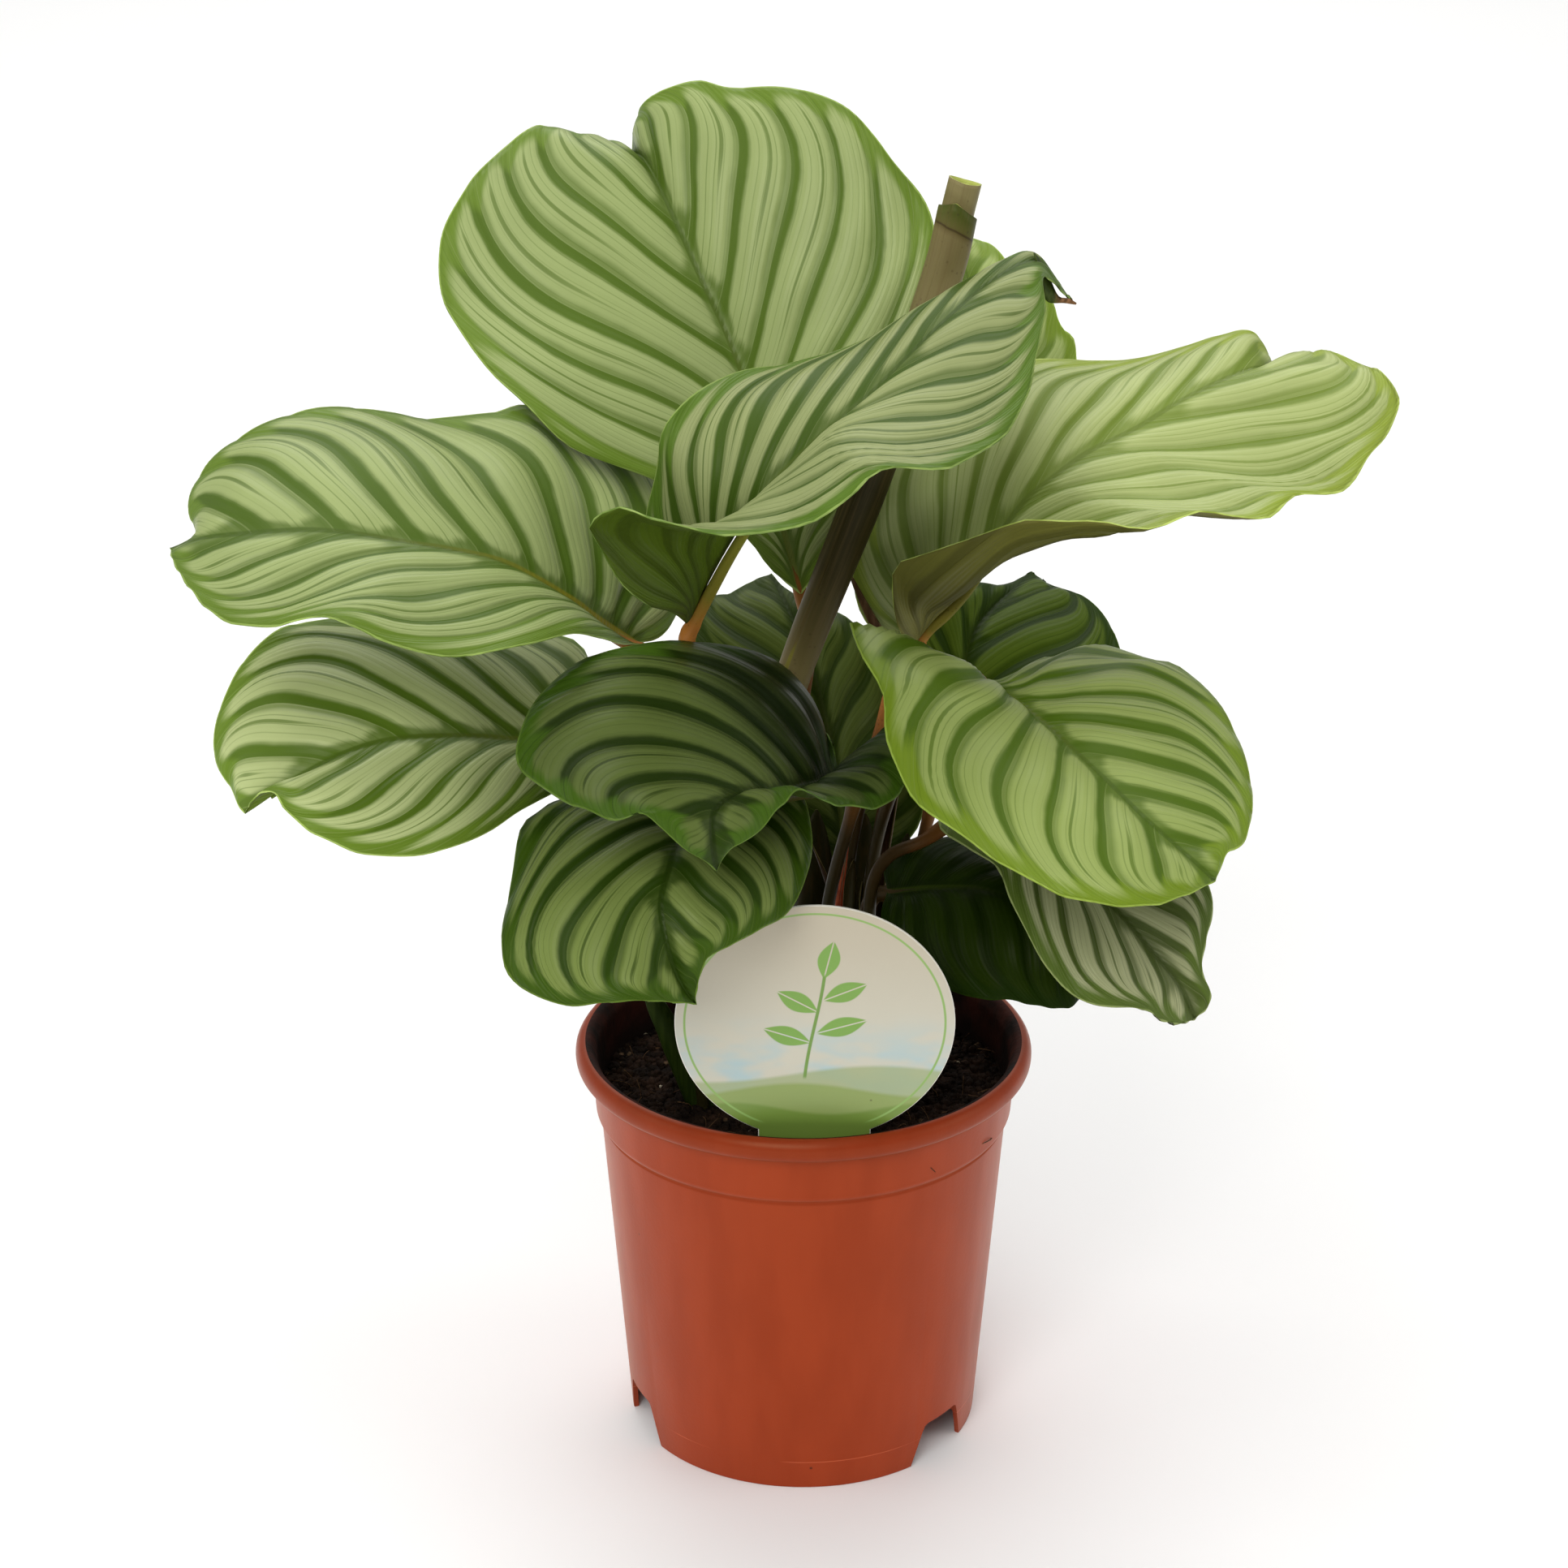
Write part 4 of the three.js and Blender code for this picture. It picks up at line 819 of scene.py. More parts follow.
# %% Stripe group: the bands
STRIPES, nodes, given, out = new_group(
    "vein stripes",
    {"Phase": 0.0, "Across": 0.5, "From midrib": 20.0, "From margin": 20.0, "Band width": 0.2},
    ["Dark", "Half dark", "Lines", "Vein", "Margin", "Spine", "Relief"])
place = nodes.place()
math_ = nodes.math
drift = math_("MULTIPLY", math_("SUBTRACT", nodes.noise(place, 26.0), 0.5), 0.07)
phase = math_("ADD", given["Phase"], drift)
band = math_("FLOOR", phase)
past_vein = math_("SUBTRACT", math_("FRACT", phase), 0.5)
chance_a = nodes.random(band)
chance_b = nodes.random(math_("ADD", band, 0.37))
uneven = math_("MULTIPLY", math_("SUBTRACT", nodes.noise(place, 90.0), 0.5), 0.10)

before_vein = nodes.fade(past_vein, 0.018, -0.018)
dark_width = math_("MULTIPLY", given["Band width"], math_("MULTIPLY_ADD", chance_a, 0.6, 0.6))
dark_start = math_("MULTIPLY", math_("ADD", dark_width, uneven), -1.0)
dark_side = nodes.fade(past_vein, math_("SUBTRACT", dark_start, 0.08), math_("ADD", dark_start, 0.05))
half_width = math_("ADD", math_("MULTIPLY_ADD", chance_b, 0.12, 0.03), uneven)
half_side = nodes.fade(past_vein, math_("ADD", half_width, 0.12), math_("SUBTRACT", half_width, 0.04))
nodes.put(out.inputs["Dark"], math_("MULTIPLY", dark_side, before_vein))
nodes.put(out.inputs["Half dark"], math_("MULTIPLY", half_side, math_("SUBTRACT", 1.0, before_vein)))
vein = nodes.fade(math_("ABSOLUTE", past_vein), 0.022, 0.005)
nodes.put(out.inputs["Vein"], vein)
print("nodes for the bands:", len(STRIPES.nodes))

# %% Stripe group: the thin lines
# Six to a band, each with its own strength
fine_phase = math_("MULTIPLY", phase, 6.0)
fine_number = math_("FLOOR", fine_phase)
fine_chance = nodes.random(fine_number)
other_chance = nodes.random(math_("ADD", fine_number, 0.41))
fine_place = math_("ABSOLUTE", math_("SUBTRACT", math_("FRACT", fine_phase), 0.5))
line = nodes.fade(fine_place, 0.11, 0.03)
thin_lines = math_("MULTIPLY", line, math_("MULTIPLY_ADD", fine_chance, 0.5, 0.15))

# The strong line of a pale part, thinner and fainter where it starts and ends
strong_place = math_("MULTIPLY_ADD", chance_b, 0.14, 0.30)
off_strong = math_("ABSOLUTE", math_("SUBTRACT", past_vein, strong_place))
taper = math_("MULTIPLY", nodes.fade(given["Across"], math_("MULTIPLY", chance_a, 0.3),
                                     math_("MULTIPLY_ADD", chance_a, 0.35, 0.35)),
              nodes.fade(given["From margin"], 1.5, 9.0))
strong_width = math_("MULTIPLY_ADD", taper, math_("MULTIPLY_ADD", chance_a, 0.035, 0.028), 0.004)
strong = math_("MULTIPLY", nodes.fade(off_strong, strong_width, math_("MULTIPLY", strong_width, 0.55)),
               math_("MULTIPLY", math_("LESS_THAN", nodes.random(math_("ADD", band, 0.83)), 0.8),
                     math_("MULTIPLY_ADD", taper, 0.7, 0.3)))
nodes.put(out.inputs["Lines"], math_("MAXIMUM", thin_lines, strong))
relief = math_("MULTIPLY_ADD", fine_place, 1.2, math_("MULTIPLY", vein, -0.6))
nodes.put(out.inputs["Relief"], relief)
print("nodes with the thin lines:", len(STRIPES.nodes))

# %% Stripe group: the ends of the pale parts
# Their shape comes from the distance to the pale part's middle, 0 there and 1 at its sides
off_middle = math_("WRAP", math_("ADD", past_vein, 0.5 + 0.04), 0.5, -0.5)
off_middle = math_("DIVIDE", math_("ABSOLUTE", off_middle), 0.34)
roundness = math_("MULTIPLY", off_middle, off_middle)
edge_width = math_("MULTIPLY_ADD", roundness, 2.4, math_("MULTIPLY_ADD", chance_b, 1.0, 0.5))
edge_width = math_("MULTIPLY_ADD", other_chance, 1.2, edge_width)
margin = nodes.fade(given["From margin"], math_("ADD", edge_width, 2.8), math_("SUBTRACT", edge_width, 0.6))
nodes.put(out.inputs["Margin"], margin)
spine_width = math_("MULTIPLY_ADD", roundness, 2.0, math_("MULTIPLY_ADD", chance_a, 0.7, 0.1))
spine_width = math_("MULTIPLY_ADD", other_chance, 1.0, spine_width)
spine = nodes.fade(given["From midrib"], math_("ADD", spine_width, 2.4), spine_width)
nodes.put(out.inputs["Spine"], spine)
print("stripe group nodes:", len(STRIPES.nodes))

# %% [markdown]
# ## Leaf materials
# Young leaves at the top are yellower and paler than old ones below, and the underside of every leaf
# is a dull olive through which the bands barely show. The inner low leaf is darker still, as painted
# shade deep in the clump, and two leaves get patches of painted shade where they curl in or lie under
# others. Each leaf has the same three materials with its own colours: the upper face, the underside
# and the thin pale rim.

# %% Leaves that differ
WARM_SHEEN = (1.0, 1.0, 0.75, 1.0)
# Undersides that don't simply follow from the upper face; the high front leaf's is brighter and yellower,
# partly its own colour and partly painted light shining through the blade
UNDERSIDES = {"right_high": (112, 110, 50), "front_high": (78, 98, 22), "right_low": (100, 106, 76)}
# The centre in mm, the radius in mm and the strength of a patch of painted shade on the upper face
PAINTED_SHADE_PATCHES = {"front_cupped": ((-5, -32, 246), 48, 0.8), "right_high": ((20, 10, 276), 34, 0.35)}
print("undersides of their own:", len(UNDERSIDES), "painted shade patches:", len(PAINTED_SHADE_PATCHES))


# %% Upper face
def striped(nodes, leaf):
    """The stripe group, fed with the blade's two UV maps, and three of its inputs."""
    phase, across = nodes.uv("veins")
    from_midrib, from_margin = nodes.uv("distance")
    stripes = nodes.group(STRIPES, Phase=phase, Across=across, From_midrib=from_midrib,
                          From_margin=from_margin, Band_width=leaf["dark_share"])
    return stripes, phase, from_midrib, from_margin


def way_along(nodes, phase, leaf):
    """The share of the way from base to tip, from either half's place in the pattern."""
    first, other = FIRST_PHASES
    in_other = nodes.math("GREATER_THAN", phase, other - 1)
    own = nodes.math("SUBTRACT", phase, nodes.math("MULTIPLY", in_other, other - first))
    return nodes.math("DIVIDE", nodes.math("SUBTRACT", own, first), float(leaf["bands"]))


def edge_tone(leaf):
    """The pale line along the margin."""
    return srgb(*(min(0.75 * p + 0.55 * m, 255) for p, m in zip(leaf["pale"], leaf["margin"])))


def painted_shade_patch(nodes, colour, centre, radius, strength):
    """Painted shade: darker around a point given in millimetres, where the blade curls in or lies under
    other leaves.
    """
    away = nodes.add("ShaderNodeVectorMath", {0: nodes.place(), 1: tuple(c * MM for c in centre)},
                     operation="DISTANCE").outputs["Value"]
    mask = nodes.math("MULTIPLY", nodes.fade(away, radius * MM, 0.45 * radius * MM), strength)
    return nodes.mix(mask, colour, srgb(12, 24, 3))


def upper_face(leaf):
    """Stripes, thin lines, dark spine, plain margin with a pale edge line, and a satin surface."""
    look = {part: srgb(*leaf[part]) for part in ("pale", "dark", "margin", "vein")}
    material, nodes, shader = new_material("leaf_upper_" + leaf["name"], 0.4,
                                           Specular_IOR_Level=leaf["gloss"], Specular_Tint=WARM_SHEEN)
    stripes, phase, from_midrib, from_margin = striped(nodes, leaf)
    patches = nodes.group(MOTTLING, Scale=28.0, Contrast=0.35)["Value"]
    colour = nodes.mix(nodes.math("MULTIPLY", stripes["Half dark"], 0.62), look["pale"], look["dark"])
    colour = nodes.mix(stripes["Dark"], colour, look["dark"])
    colour = nodes.mix(stripes["Margin"], colour, look["margin"])
    colour = nodes.mix(nodes.math("MULTIPLY", stripes["Spine"], 0.8), colour, look["dark"])
    colour = nodes.mix(nodes.math("MULTIPLY", stripes["Lines"], 0.72), colour, look["dark"])
    # A faint painted highlight along each main vein, where its groove catches the light
    colour = nodes.mix(nodes.math("MULTIPLY", stripes["Vein"], 0.18), colour, look["pale"])
    near_base = nodes.fade(way_along(nodes, phase, leaf), 0.85, 0.15)
    midrib = nodes.fade(from_midrib, 1.15, 0.55)
    colour = nodes.mix(nodes.math("MULTIPLY", midrib, 0.85), colour,
                       nodes.mix(near_base, tuple(0.8 * c for c in look["dark"]), look["vein"]))
    edge_line = nodes.fade(from_margin, 0.5, 0.2)
    colour = nodes.mix(nodes.math("MULTIPLY", edge_line, 0.7), colour, edge_tone(leaf))
    colour = nodes.shade(colour, patches)
    # Painted shade on the leaves that curl in or lie under others
    if leaf["name"] in PAINTED_SHADE_PATCHES:
        colour = painted_shade_patch(nodes, colour, *PAINTED_SHADE_PATCHES[leaf["name"]])
    nodes.put(shader.inputs["Base Color"], colour)
    nodes.put(shader.inputs["Roughness"], nodes.math("MULTIPLY_ADD", stripes["Dark"], 0.06, 0.36))
    add_bump(nodes, shader, stripes["Relief"], 0.35, 0.0004)
    return material


print("the top leaf's edge line:", [round(c, 2) for c in edge_tone(LEAVES[0])[:3]])


# %% Underside and rim
def underside(leaf):
    """Dull olive, with the bands and the veins only just showing."""
    tone = UNDERSIDES.get(leaf["name"])
    if tone is None:
        tone = [0.40 * p + 0.20 * d for p, d in zip(leaf["pale"], leaf["dark"])]
        tone = (tone[0], 1.14 * tone[1], 0.3 * tone[2])
    plain, deeper = srgb(*tone), srgb(*(0.82 * c for c in tone))
    material, nodes, shader = new_material("leaf_under_" + leaf["name"], 0.5, Specular_IOR_Level=0.18,
                                           Specular_Tint=WARM_SHEEN)
    stripes, *_inputs = striped(nodes, leaf)
    banded = nodes.math("MAXIMUM", stripes["Dark"], nodes.math("MULTIPLY", stripes["Half dark"], 0.6))
    colour = nodes.mix(banded, plain, deeper)
    colour = nodes.mix(nodes.math("MULTIPLY", stripes["Lines"], 0.3), colour, deeper)
    nodes.put(shader.inputs["Base Color"], colour)
    add_bump(nodes, shader, stripes["Relief"], 0.5, 0.0004)
    return material


def rim(leaf):
    """The thin edge of a blade, a little paler than its faces."""
    material, nodes, shader = new_material("leaf_rim_" + leaf["name"], 0.5, Specular_IOR_Level=0.2)
    patches = nodes.fade(nodes.noise(nodes.place(), 120.0), 0.3, 0.7)
    nodes.put(shader.inputs["Base Color"], nodes.mix(patches, srgb(*leaf["margin"]), edge_tone(leaf)))
    return material


# %% Blades
blades = []
for leaf in LEAVES:
    blade = make_blade(leaf, [upper_face(leaf), underside(leaf), rim(leaf)])
    hand_in(blade, "leaf", "leaf_" + leaf["name"])
    blades.append(blade)
print("blades:", len(blades), "faces in the largest:", max(len(b.data.polygons) for b in blades))

# %% [markdown]
# ## The stalks
# A stalk rises from the soil, turns into a thicker, orange-brown joint just below the blade, and
# runs on under it as the midrib, thinner and thinner up to the tip. All of that is one tube along
# one path, so a Geometry Nodes tree sweeps a circle along it. Its inputs are the radii and where the
# blade starts, and it leaves the share of the way up on the mesh for the material to read, and how
# much light that stalk gets: deep in the clump they are nearly black.


# %% Helpers for Geometry Nodes trees
def new_tree(name, sockets):
    """A Geometry Nodes tree with a geometry in and out and the named inputs."""
    tree = bpy.data.node_groups.new(name, "GeometryNodeTree")
    tree.interface.new_socket("Geometry", in_out="OUTPUT", socket_type="NodeSocketGeometry")
    tree.interface.new_socket("Geometry", in_out="INPUT", socket_type="NodeSocketGeometry")
    for label, kind, default in sockets:
        socket = tree.interface.new_socket(label, in_out="INPUT", socket_type="NodeSocket" + kind)
        if default is not None:
            socket.default_value = default
    nodes = Nodes(tree)
    return tree, nodes, nodes.add("NodeGroupInput").outputs, nodes.add("NodeGroupOutput")


def finish_tree(nodes, geometry, material, out):
    """Every tree ends with real geometry and its material."""
    real = nodes.add("GeometryNodeRealizeInstances", {"Geometry": geometry}).outputs[0]
    dressed = nodes.add("GeometryNodeSetMaterial", {"Geometry": real, "Material": material}).outputs[0]
    nodes.put(out.inputs[0], dressed)


# %% Stalk tree
STALK, nodes, given, out = new_tree("stalk", [
    ("Root radius", "Float", 0.0033), ("Top radius", "Float", 0.0019), ("Rib radius", "Float", 0.0004),
    ("Joint", "Float", 0.0006), ("Blade starts", "Float", 0.6), ("Light", "Float", 1.0),
    ("Sides", "Int", 14), ("Material", "Material", None)])
way = nodes.add("GeometryNodeSplineParameter").outputs["Factor"]
up_stalk = nodes.math("DIVIDE", way, given["Blade starts"])
lower = nodes.add("ShaderNodeMapRange", {"Value": up_stalk, "From Min": 0.25, "From Max": 0.65,
                                         "To Min": given["Root radius"], "To Max": given["Top radius"]})
upper = nodes.add("ShaderNodeMapRange", {"Value": way, "From Min": given["Blade starts"], "From Max": 1.0,
                                         "To Min": given["Top radius"], "To Max": given["Rib radius"]})
radius = nodes.math("MINIMUM", lower.outputs[0], upper.outputs[0])
joint = nodes.math("MULTIPLY", nodes.fade(up_stalk, 0.80, 0.88), nodes.fade(up_stalk, 1.02, 0.97))
radius = nodes.math("MULTIPLY_ADD", joint, given["Joint"], radius)
path = nodes.add("GeometryNodeStoreNamedAttribute",
                 {"Geometry": given["Geometry"], "Name": "way_up", "Value": up_stalk}, data_type="FLOAT")
path = nodes.add("GeometryNodeStoreNamedAttribute",
                 {"Geometry": path.outputs[0], "Name": "light", "Value": given["Light"]}, data_type="FLOAT")
circle = nodes.add("GeometryNodeCurvePrimitiveCircle", {"Resolution": given["Sides"], "Radius": 1.0})
swept = nodes.add("GeometryNodeCurveToMesh", {"Curve": path.outputs[0], "Profile Curve": circle.outputs[0],
                                              "Scale": radius, "Fill Caps": True})
smooth = nodes.add("GeometryNodeSetShadeSmooth", {"Geometry": swept.outputs[0]})
finish_tree(nodes, smooth.outputs[0], given["Material"], out)
print("nodes in the stalk tree:", len(STALK.nodes))

# %% Stalk material
# Along the stalk from the soil, 0.63 being where the blade starts; the joint below it is orange
STALK_TONES = [(0.0, (38, 35, 13)), (0.20, (44, 38, 16)), (0.36, (56, 44, 20)), (0.48, (96, 60, 28)),
               (0.53, (186, 116, 54)), (0.63, (194, 126, 58)), (0.67, (134, 124, 46)),
               (1.0, (104, 124, 46))]
STALK_SKIN, nodes, shader = new_material("stalk_skin", roughness=0.42, Specular_IOR_Level=0.14,
                                         Specular_Tint=WARM_SHEEN)
way_up = nodes.add("ShaderNodeAttribute", attribute_name="way_up").outputs["Fac"]
uneven = nodes.math("SUBTRACT", nodes.noise(nodes.place(), 60.0), 0.5)
way_up = nodes.math("MULTIPLY_ADD", uneven, 0.08, way_up)
skin = nodes.ramp(nodes.math("DIVIDE", way_up, 1.6), STALK_TONES)
flecks = nodes.group(SPECKS, Scale=900.0, Size=0.35, Share=0.25)["Mask"]
skin = nodes.mix(nodes.math("MULTIPLY", flecks, 0.35), skin, srgb(58, 34, 22))
light = nodes.add("ShaderNodeAttribute", attribute_name="light").outputs["Fac"]
skin = nodes.mix(light, srgb(30, 28, 8), skin)
nodes.put(shader.inputs["Base Color"], skin)
long_grain = nodes.grain(0.06, 1400.0)
add_bump(nodes, shader, long_grain, 0.25, 0.0003)

# %% Stalk paths
SOIL_LEVEL = 110          # mm
STALK_SINK = 14           # mm below the soil
TOP_RADIUS, RIB_RADIUS = 1.9, 0.4     # mm, where the blade starts and where the rib ends
NECK_LENGTH = 9           # mm, the straight end of the stalk below the blade


def rib_line(leaf, midrib, shares):
    """The midrib's own line, as deep under the blade's upper face as the rib is thick."""
    left, right = (margin_curve(leaf, side) for side in SIDES)
    across = unit(right.at(shares) - left.at(shares))
    below = unit(np.cross(midrib.heading(shares), across))
    groove = BASE_GROOVE * np.sin(np.pi * shares) ** 0.5
    depth = TOP_RADIUS + (RIB_RADIUS - TOP_RADIUS) * shares + 0.2 + groove
    return midrib.at(shares) + depth[:, None] * below


def stalk_path(leaf, rib_share=0.93):
    """Points in millimetres from the soil to the end of the rib, and the share where the blade starts."""
    midrib = SmoothCurve(leaf["midrib"])
    base = np.array(leaf["midrib"][0], float)
    along = midrib.heading(0.0)
    across = np.array(leaf["right"][1], float) - np.array(leaf["left"][1], float)
    below = unit(np.cross(along, across))
    neck = base - NECK_LENGTH * along + (TOP_RADIUS + 0.8) * below
    seat = base + 1 * along + (TOP_RADIUS + 0.3) * below
    x, y = leaf["root"]
    foot = [(x, y, SOIL_LEVEL - STALK_SINK), (x, y, SOIL_LEVEL + 6)]
    under = rib_line(leaf, midrib, np.linspace(0.05, rib_share, 14))
    whole = SmoothCurve([*foot, *leaf["via"], tuple(neck), tuple(seat), *under])
    start = np.argmin(np.linalg.norm(whole.points - seat, axis=1))
    return whole, whole.shares[start]


print("the top leaf's stalk and rib in mm:", round(stalk_path(LEAVES[0])[0].length))

# %% Stalks
# How much light a stalk gets, where it isn't 1
SHADED_STALKS = {"front_low": 0.4, "front_cupped": 0.15, "right_low": 0.3, "right_inner": 0.05,
                 "back_low": 0.3, "back_right": 0.4, "right_high": 0.85, "right_middle": 0.6,
                 "top": 0.4}


def add_stalk(leaf):
    """The stalk and the rib under the blade, as one tube."""
    whole, start = stalk_path(leaf)
    curve = path_curve("stalk path", whole.at(np.linspace(0, 1, 110)) * MM)
    light = SHADED_STALKS.get(leaf["name"], 1.0)
    piece = grow("stalk_" + leaf["name"], curve, STALK,
                 **{"Blade starts": float(start), "Light": light, "Material": STALK_SKIN})
    hand_in(piece, "petiole", "petiole_" + leaf["name"])
    return piece


stalks = [add_stalk(leaf) for leaf in LEAVES]
print("stalks:", len(stalks), "triangles each:", triangles(stalks[0]))

# %% [markdown]
# ## The sheaths at the foot
# Each stalk is clasped at its foot by a thin dark sheath with a pale edge, open on one side and
# pointed at the top. Together they close the clump, so that hardly any light comes through between
# the stalks. A sheath is a grid wrapped around the lower part of the stalk's own path. The sheaths
# of old, fallen leaves stand among them and have a short path of their own.

# %% Sheath materials
def sheath_skin(name, tone, streak):
    """Dull, with fine streaks upward."""
    material, nodes, shader = new_material(name, roughness=0.5, Specular_IOR_Level=0.1,
                                           Specular_Tint=WARM_SHEEN)
    grain = nodes.grain(0.05, 700.0, detail=3.0)
    colour = nodes.mix(nodes.fade(grain, 0.4, 0.7), srgb(*tone), srgb(*streak))
    nodes.put(shader.inputs["Base Color"], colour)
    add_bump(nodes, shader, grain, 0.3, 0.0003)
    return material


OLIVE_SHEATH = sheath_skin("sheath_olive", (36, 34, 10), (50, 40, 14))
BROWN_SHEATH = sheath_skin("sheath_brown", (50, 32, 16), (74, 48, 26))
# The spear's rosy skin is painted darker, as painted shade in the clump
SHADED_ROSY_SHEATH = sheath_skin("sheath_rosy_painted_shade", (70, 48, 30), (98, 70, 48))
RED_SHEATH = sheath_skin("sheath_red", (120, 46, 26), (176, 84, 50))
GREEN_SHEATH = sheath_skin("sheath_green", (30, 44, 8), (42, 56, 14))
SHEATH_EDGE = sheath_skin("sheath_edge", (78, 72, 40), (110, 98, 62))

# %% Sheath sizes
SHEET_THICKNESS = 0.4     # mm
FOOT_RADII = ((0, 0.5, 0.8, 1), (5.6, 5.0, 3.8, 2.6))     # mm, by the share of the way up
# The height in mm above the soil and the angle of the open side in degrees
CLASPED = {"top": (60, 80), "front_cupped": (62, 150), "right_high": (74, 60), "back_high": (70, 120),
           "back_low": (60, 100), "right_middle": (66, 200), "right_low": (36, 20),
           "back_right": (44, 90), "front_low": (46, 120), "front_high": (50, 40),
           "left_high": (44, 70)}
# The path in mm, the width against a clasped stalk's, the angle of the open side and the skin
OLD_SHEATHS = {
    "back_left": (((3, 26, 106), (3, 26, 136), (3, 27, 158), (4, 30, 192)), 1.45, 90, OLIVE_SHEATH),
    "back_middle": (((18, 26, 106), (18, 26, 136), (18, 27, 160), (19, 31, 190)), 1.3, 90, OLIVE_SHEATH),
    "back_right": (((27, 20, 106), (28, 22, 136), (29, 25, 158), (32, 29, 184)), 1.2, 90, OLIVE_SHEATH),
    "spear": (((20, 8, 106), (22, 9, 175), (28, 9, 226), (26, 8, 247), (17, 8, 268), (13, 8, 277)),
              0.6, 250, SHADED_ROSY_SHEATH),
    "curved": (((11, -2, 106), (10, 4, 146), (10, 8, 169), (7, 12, 178), (3, 18, 186)),
               0.5, 160, BROWN_SHEATH),
    "red": (((11, -12, 106), (11, -8, 152), (11, -4, 174), (13, -2, 186), (15, 2, 199)),
            0.4, 200, RED_SHEATH),
    "left": (((-30, -10, 106), (-38, -9, 126), (-43, -8, 138), (-50, -8, 151)), 0.8, 60, GREEN_SHEATH)}
print("clasping sheaths:", len(CLASPED), "old sheaths:", len(OLD_SHEATHS))


# %% Sheath shape and sheaths
def wrapped_sheath(name, path, top, width, opening, skin):
    """A pointed sheath around the path from its start up to the share top."""
    around, upward = 26, 30
    points = []
    for i in range(upward):
        for k in range(around):
            off_back = 2 * abs(k / (around - 1) - 0.5)
            up = i / (upward - 1) * (1 - 0.42 * off_back ** 1.5)
            centre, along = path.at(up * top), path.heading(up * top)
            side = unit(np.cross(along, (0.0, 1.0, 0.0)))
            front = np.cross(side, along)
            angle = math.radians(opening) + 2 * math.pi * (0.12 + 0.76 * k / (around - 1))
            radius = width * np.interp(up, *FOOT_RADII)
            points.append(centre + radius * (math.cos(angle) * side + math.sin(angle) * front))
    piece = make_object(name, np.array(points) * MM, grid_faces(upward, around), [skin, SHEATH_EDGE])
    thicken(piece, SHEET_THICKNESS, rim=1)
    hand_in(piece, "petiole")
    return piece


foot_sheaths = []
for leaf in LEAVES:
    if leaf["name"] in CLASPED:
        height, opening = CLASPED[leaf["name"]]
        path, _start = stalk_path(leaf)
        top = np.interp(SOIL_LEVEL + height, path.points[:, 2], path.shares)
        name = "foot_sheath_" + leaf["name"]
        foot_sheaths.append(wrapped_sheath(name, path, top, 1.0, opening, OLIVE_SHEATH))
for name, (stations, width, opening, skin) in OLD_SHEATHS.items():
    path = SmoothCurve(stations)
    foot_sheaths.append(wrapped_sheath("old_sheath_" + name, path, 1.0, width, opening, skin))
print("foot sheaths:", len(foot_sheaths), "triangles each:", triangles(foot_sheaths[0]))

# %% [markdown]
# ## The dry tip
# The tip of the high front leaf has curled over and dried to a brown shred. It is a small sheet
# between two edge curves, dark green where it leaves the blade and brown at its end.

# %% Material of the dry tip
CURLED, nodes, shader = new_material("curled_tip", roughness=0.5, Specular_IOR_Level=0.1,
                                     Specular_Tint=WARM_SHEEN)
dried = nodes.fade(nodes.xyz()[0], 0.0695, 0.0730)
grain = nodes.fade(nodes.noise(nodes.place(), 600.0, detail=3.0), 0.35, 0.65)
green = nodes.mix(grain, srgb(44, 58, 18), srgb(62, 76, 28))
brown = nodes.mix(grain, srgb(86, 58, 36), srgb(150, 108, 74))
nodes.put(shader.inputs["Base Color"], nodes.mix(dried, green, brown))
print("nodes in the dry tip's material:", len(CURLED.node_tree.nodes))

# %% Curled tip
TIP_OUTER = ((63.9, -10, 377.2), (66.6, -8, 373.4), (68.9, -6, 368.2), (71.7, -4, 362.7),
             (74.6, -2, 361.7), (76.9, 0, 359.9))
TIP_INNER = ((64.0, -12, 376.4), (65.5, -12, 372.2), (66.5, -11, 367.9), (68.0, -8, 362.6),
             (73.2, -3, 360.8), (76.7, 0, 359.4))
TIP_STRIPS, TIP_STEPS = 5, 24
outer, inner = SmoothCurve(TIP_OUTER), SmoothCurve(TIP_INNER)
shares = np.linspace(0, 1, TIP_STEPS)
tip_points = []
for k in range(TIP_STRIPS + 1):
    bulge = 0.8 * math.sin(math.pi * k / TIP_STRIPS)
    between = outer.at(shares) * (1 - k / TIP_STRIPS) + inner.at(shares) * k / TIP_STRIPS
    tip_points.append(between + np.outer(np.sin(np.pi * shares), (0, -bulge, 0)))
tip_faces = grid_faces(TIP_STRIPS + 1, TIP_STEPS)
curled_tip = make_object("curled_tip", np.concatenate(tip_points) * MM, tip_faces, [CURLED])
thicken(curled_tip, SHEET_THICKNESS, offset=0)
hand_in(curled_tip, "leaf")
print("curled tip triangles:", triangles(curled_tip))

# %% [markdown]
# ## The cut stem
# One leaf was cut off. What is left is its stalk, wrapped in a sheath: a sheet rolled up around a
# thinner rolled sheet, with an edge that runs up its front, a short collar above a ridge and a cut,
# yellow-green end. Both are modelled as they grow, as a sheet that turns a little more than once
# around the path, and Solidify gives the sheet its thickness. A small table says how far the upper
# edge stands above or below a straight cut, by the angle around the stem.

# %% Stem sizes
STEM_PATH = [(-24, 11, 97), (-24, 11, 116), (-18, 8, 190), (-4, 4, 243), (19, 2, 307), (39.8, 4.4, 370),
             (43, 5, 385), (45.5, 6, 395.4)]
SHEATH_RADII = [5, 5, 5.2, 5.5, 6.2, 6.2, 6.0]
CORE_RADIUS = 4.9
SHEATH_SHARE = 0.968     # of the path's length, where a straight cut of the sheath would be
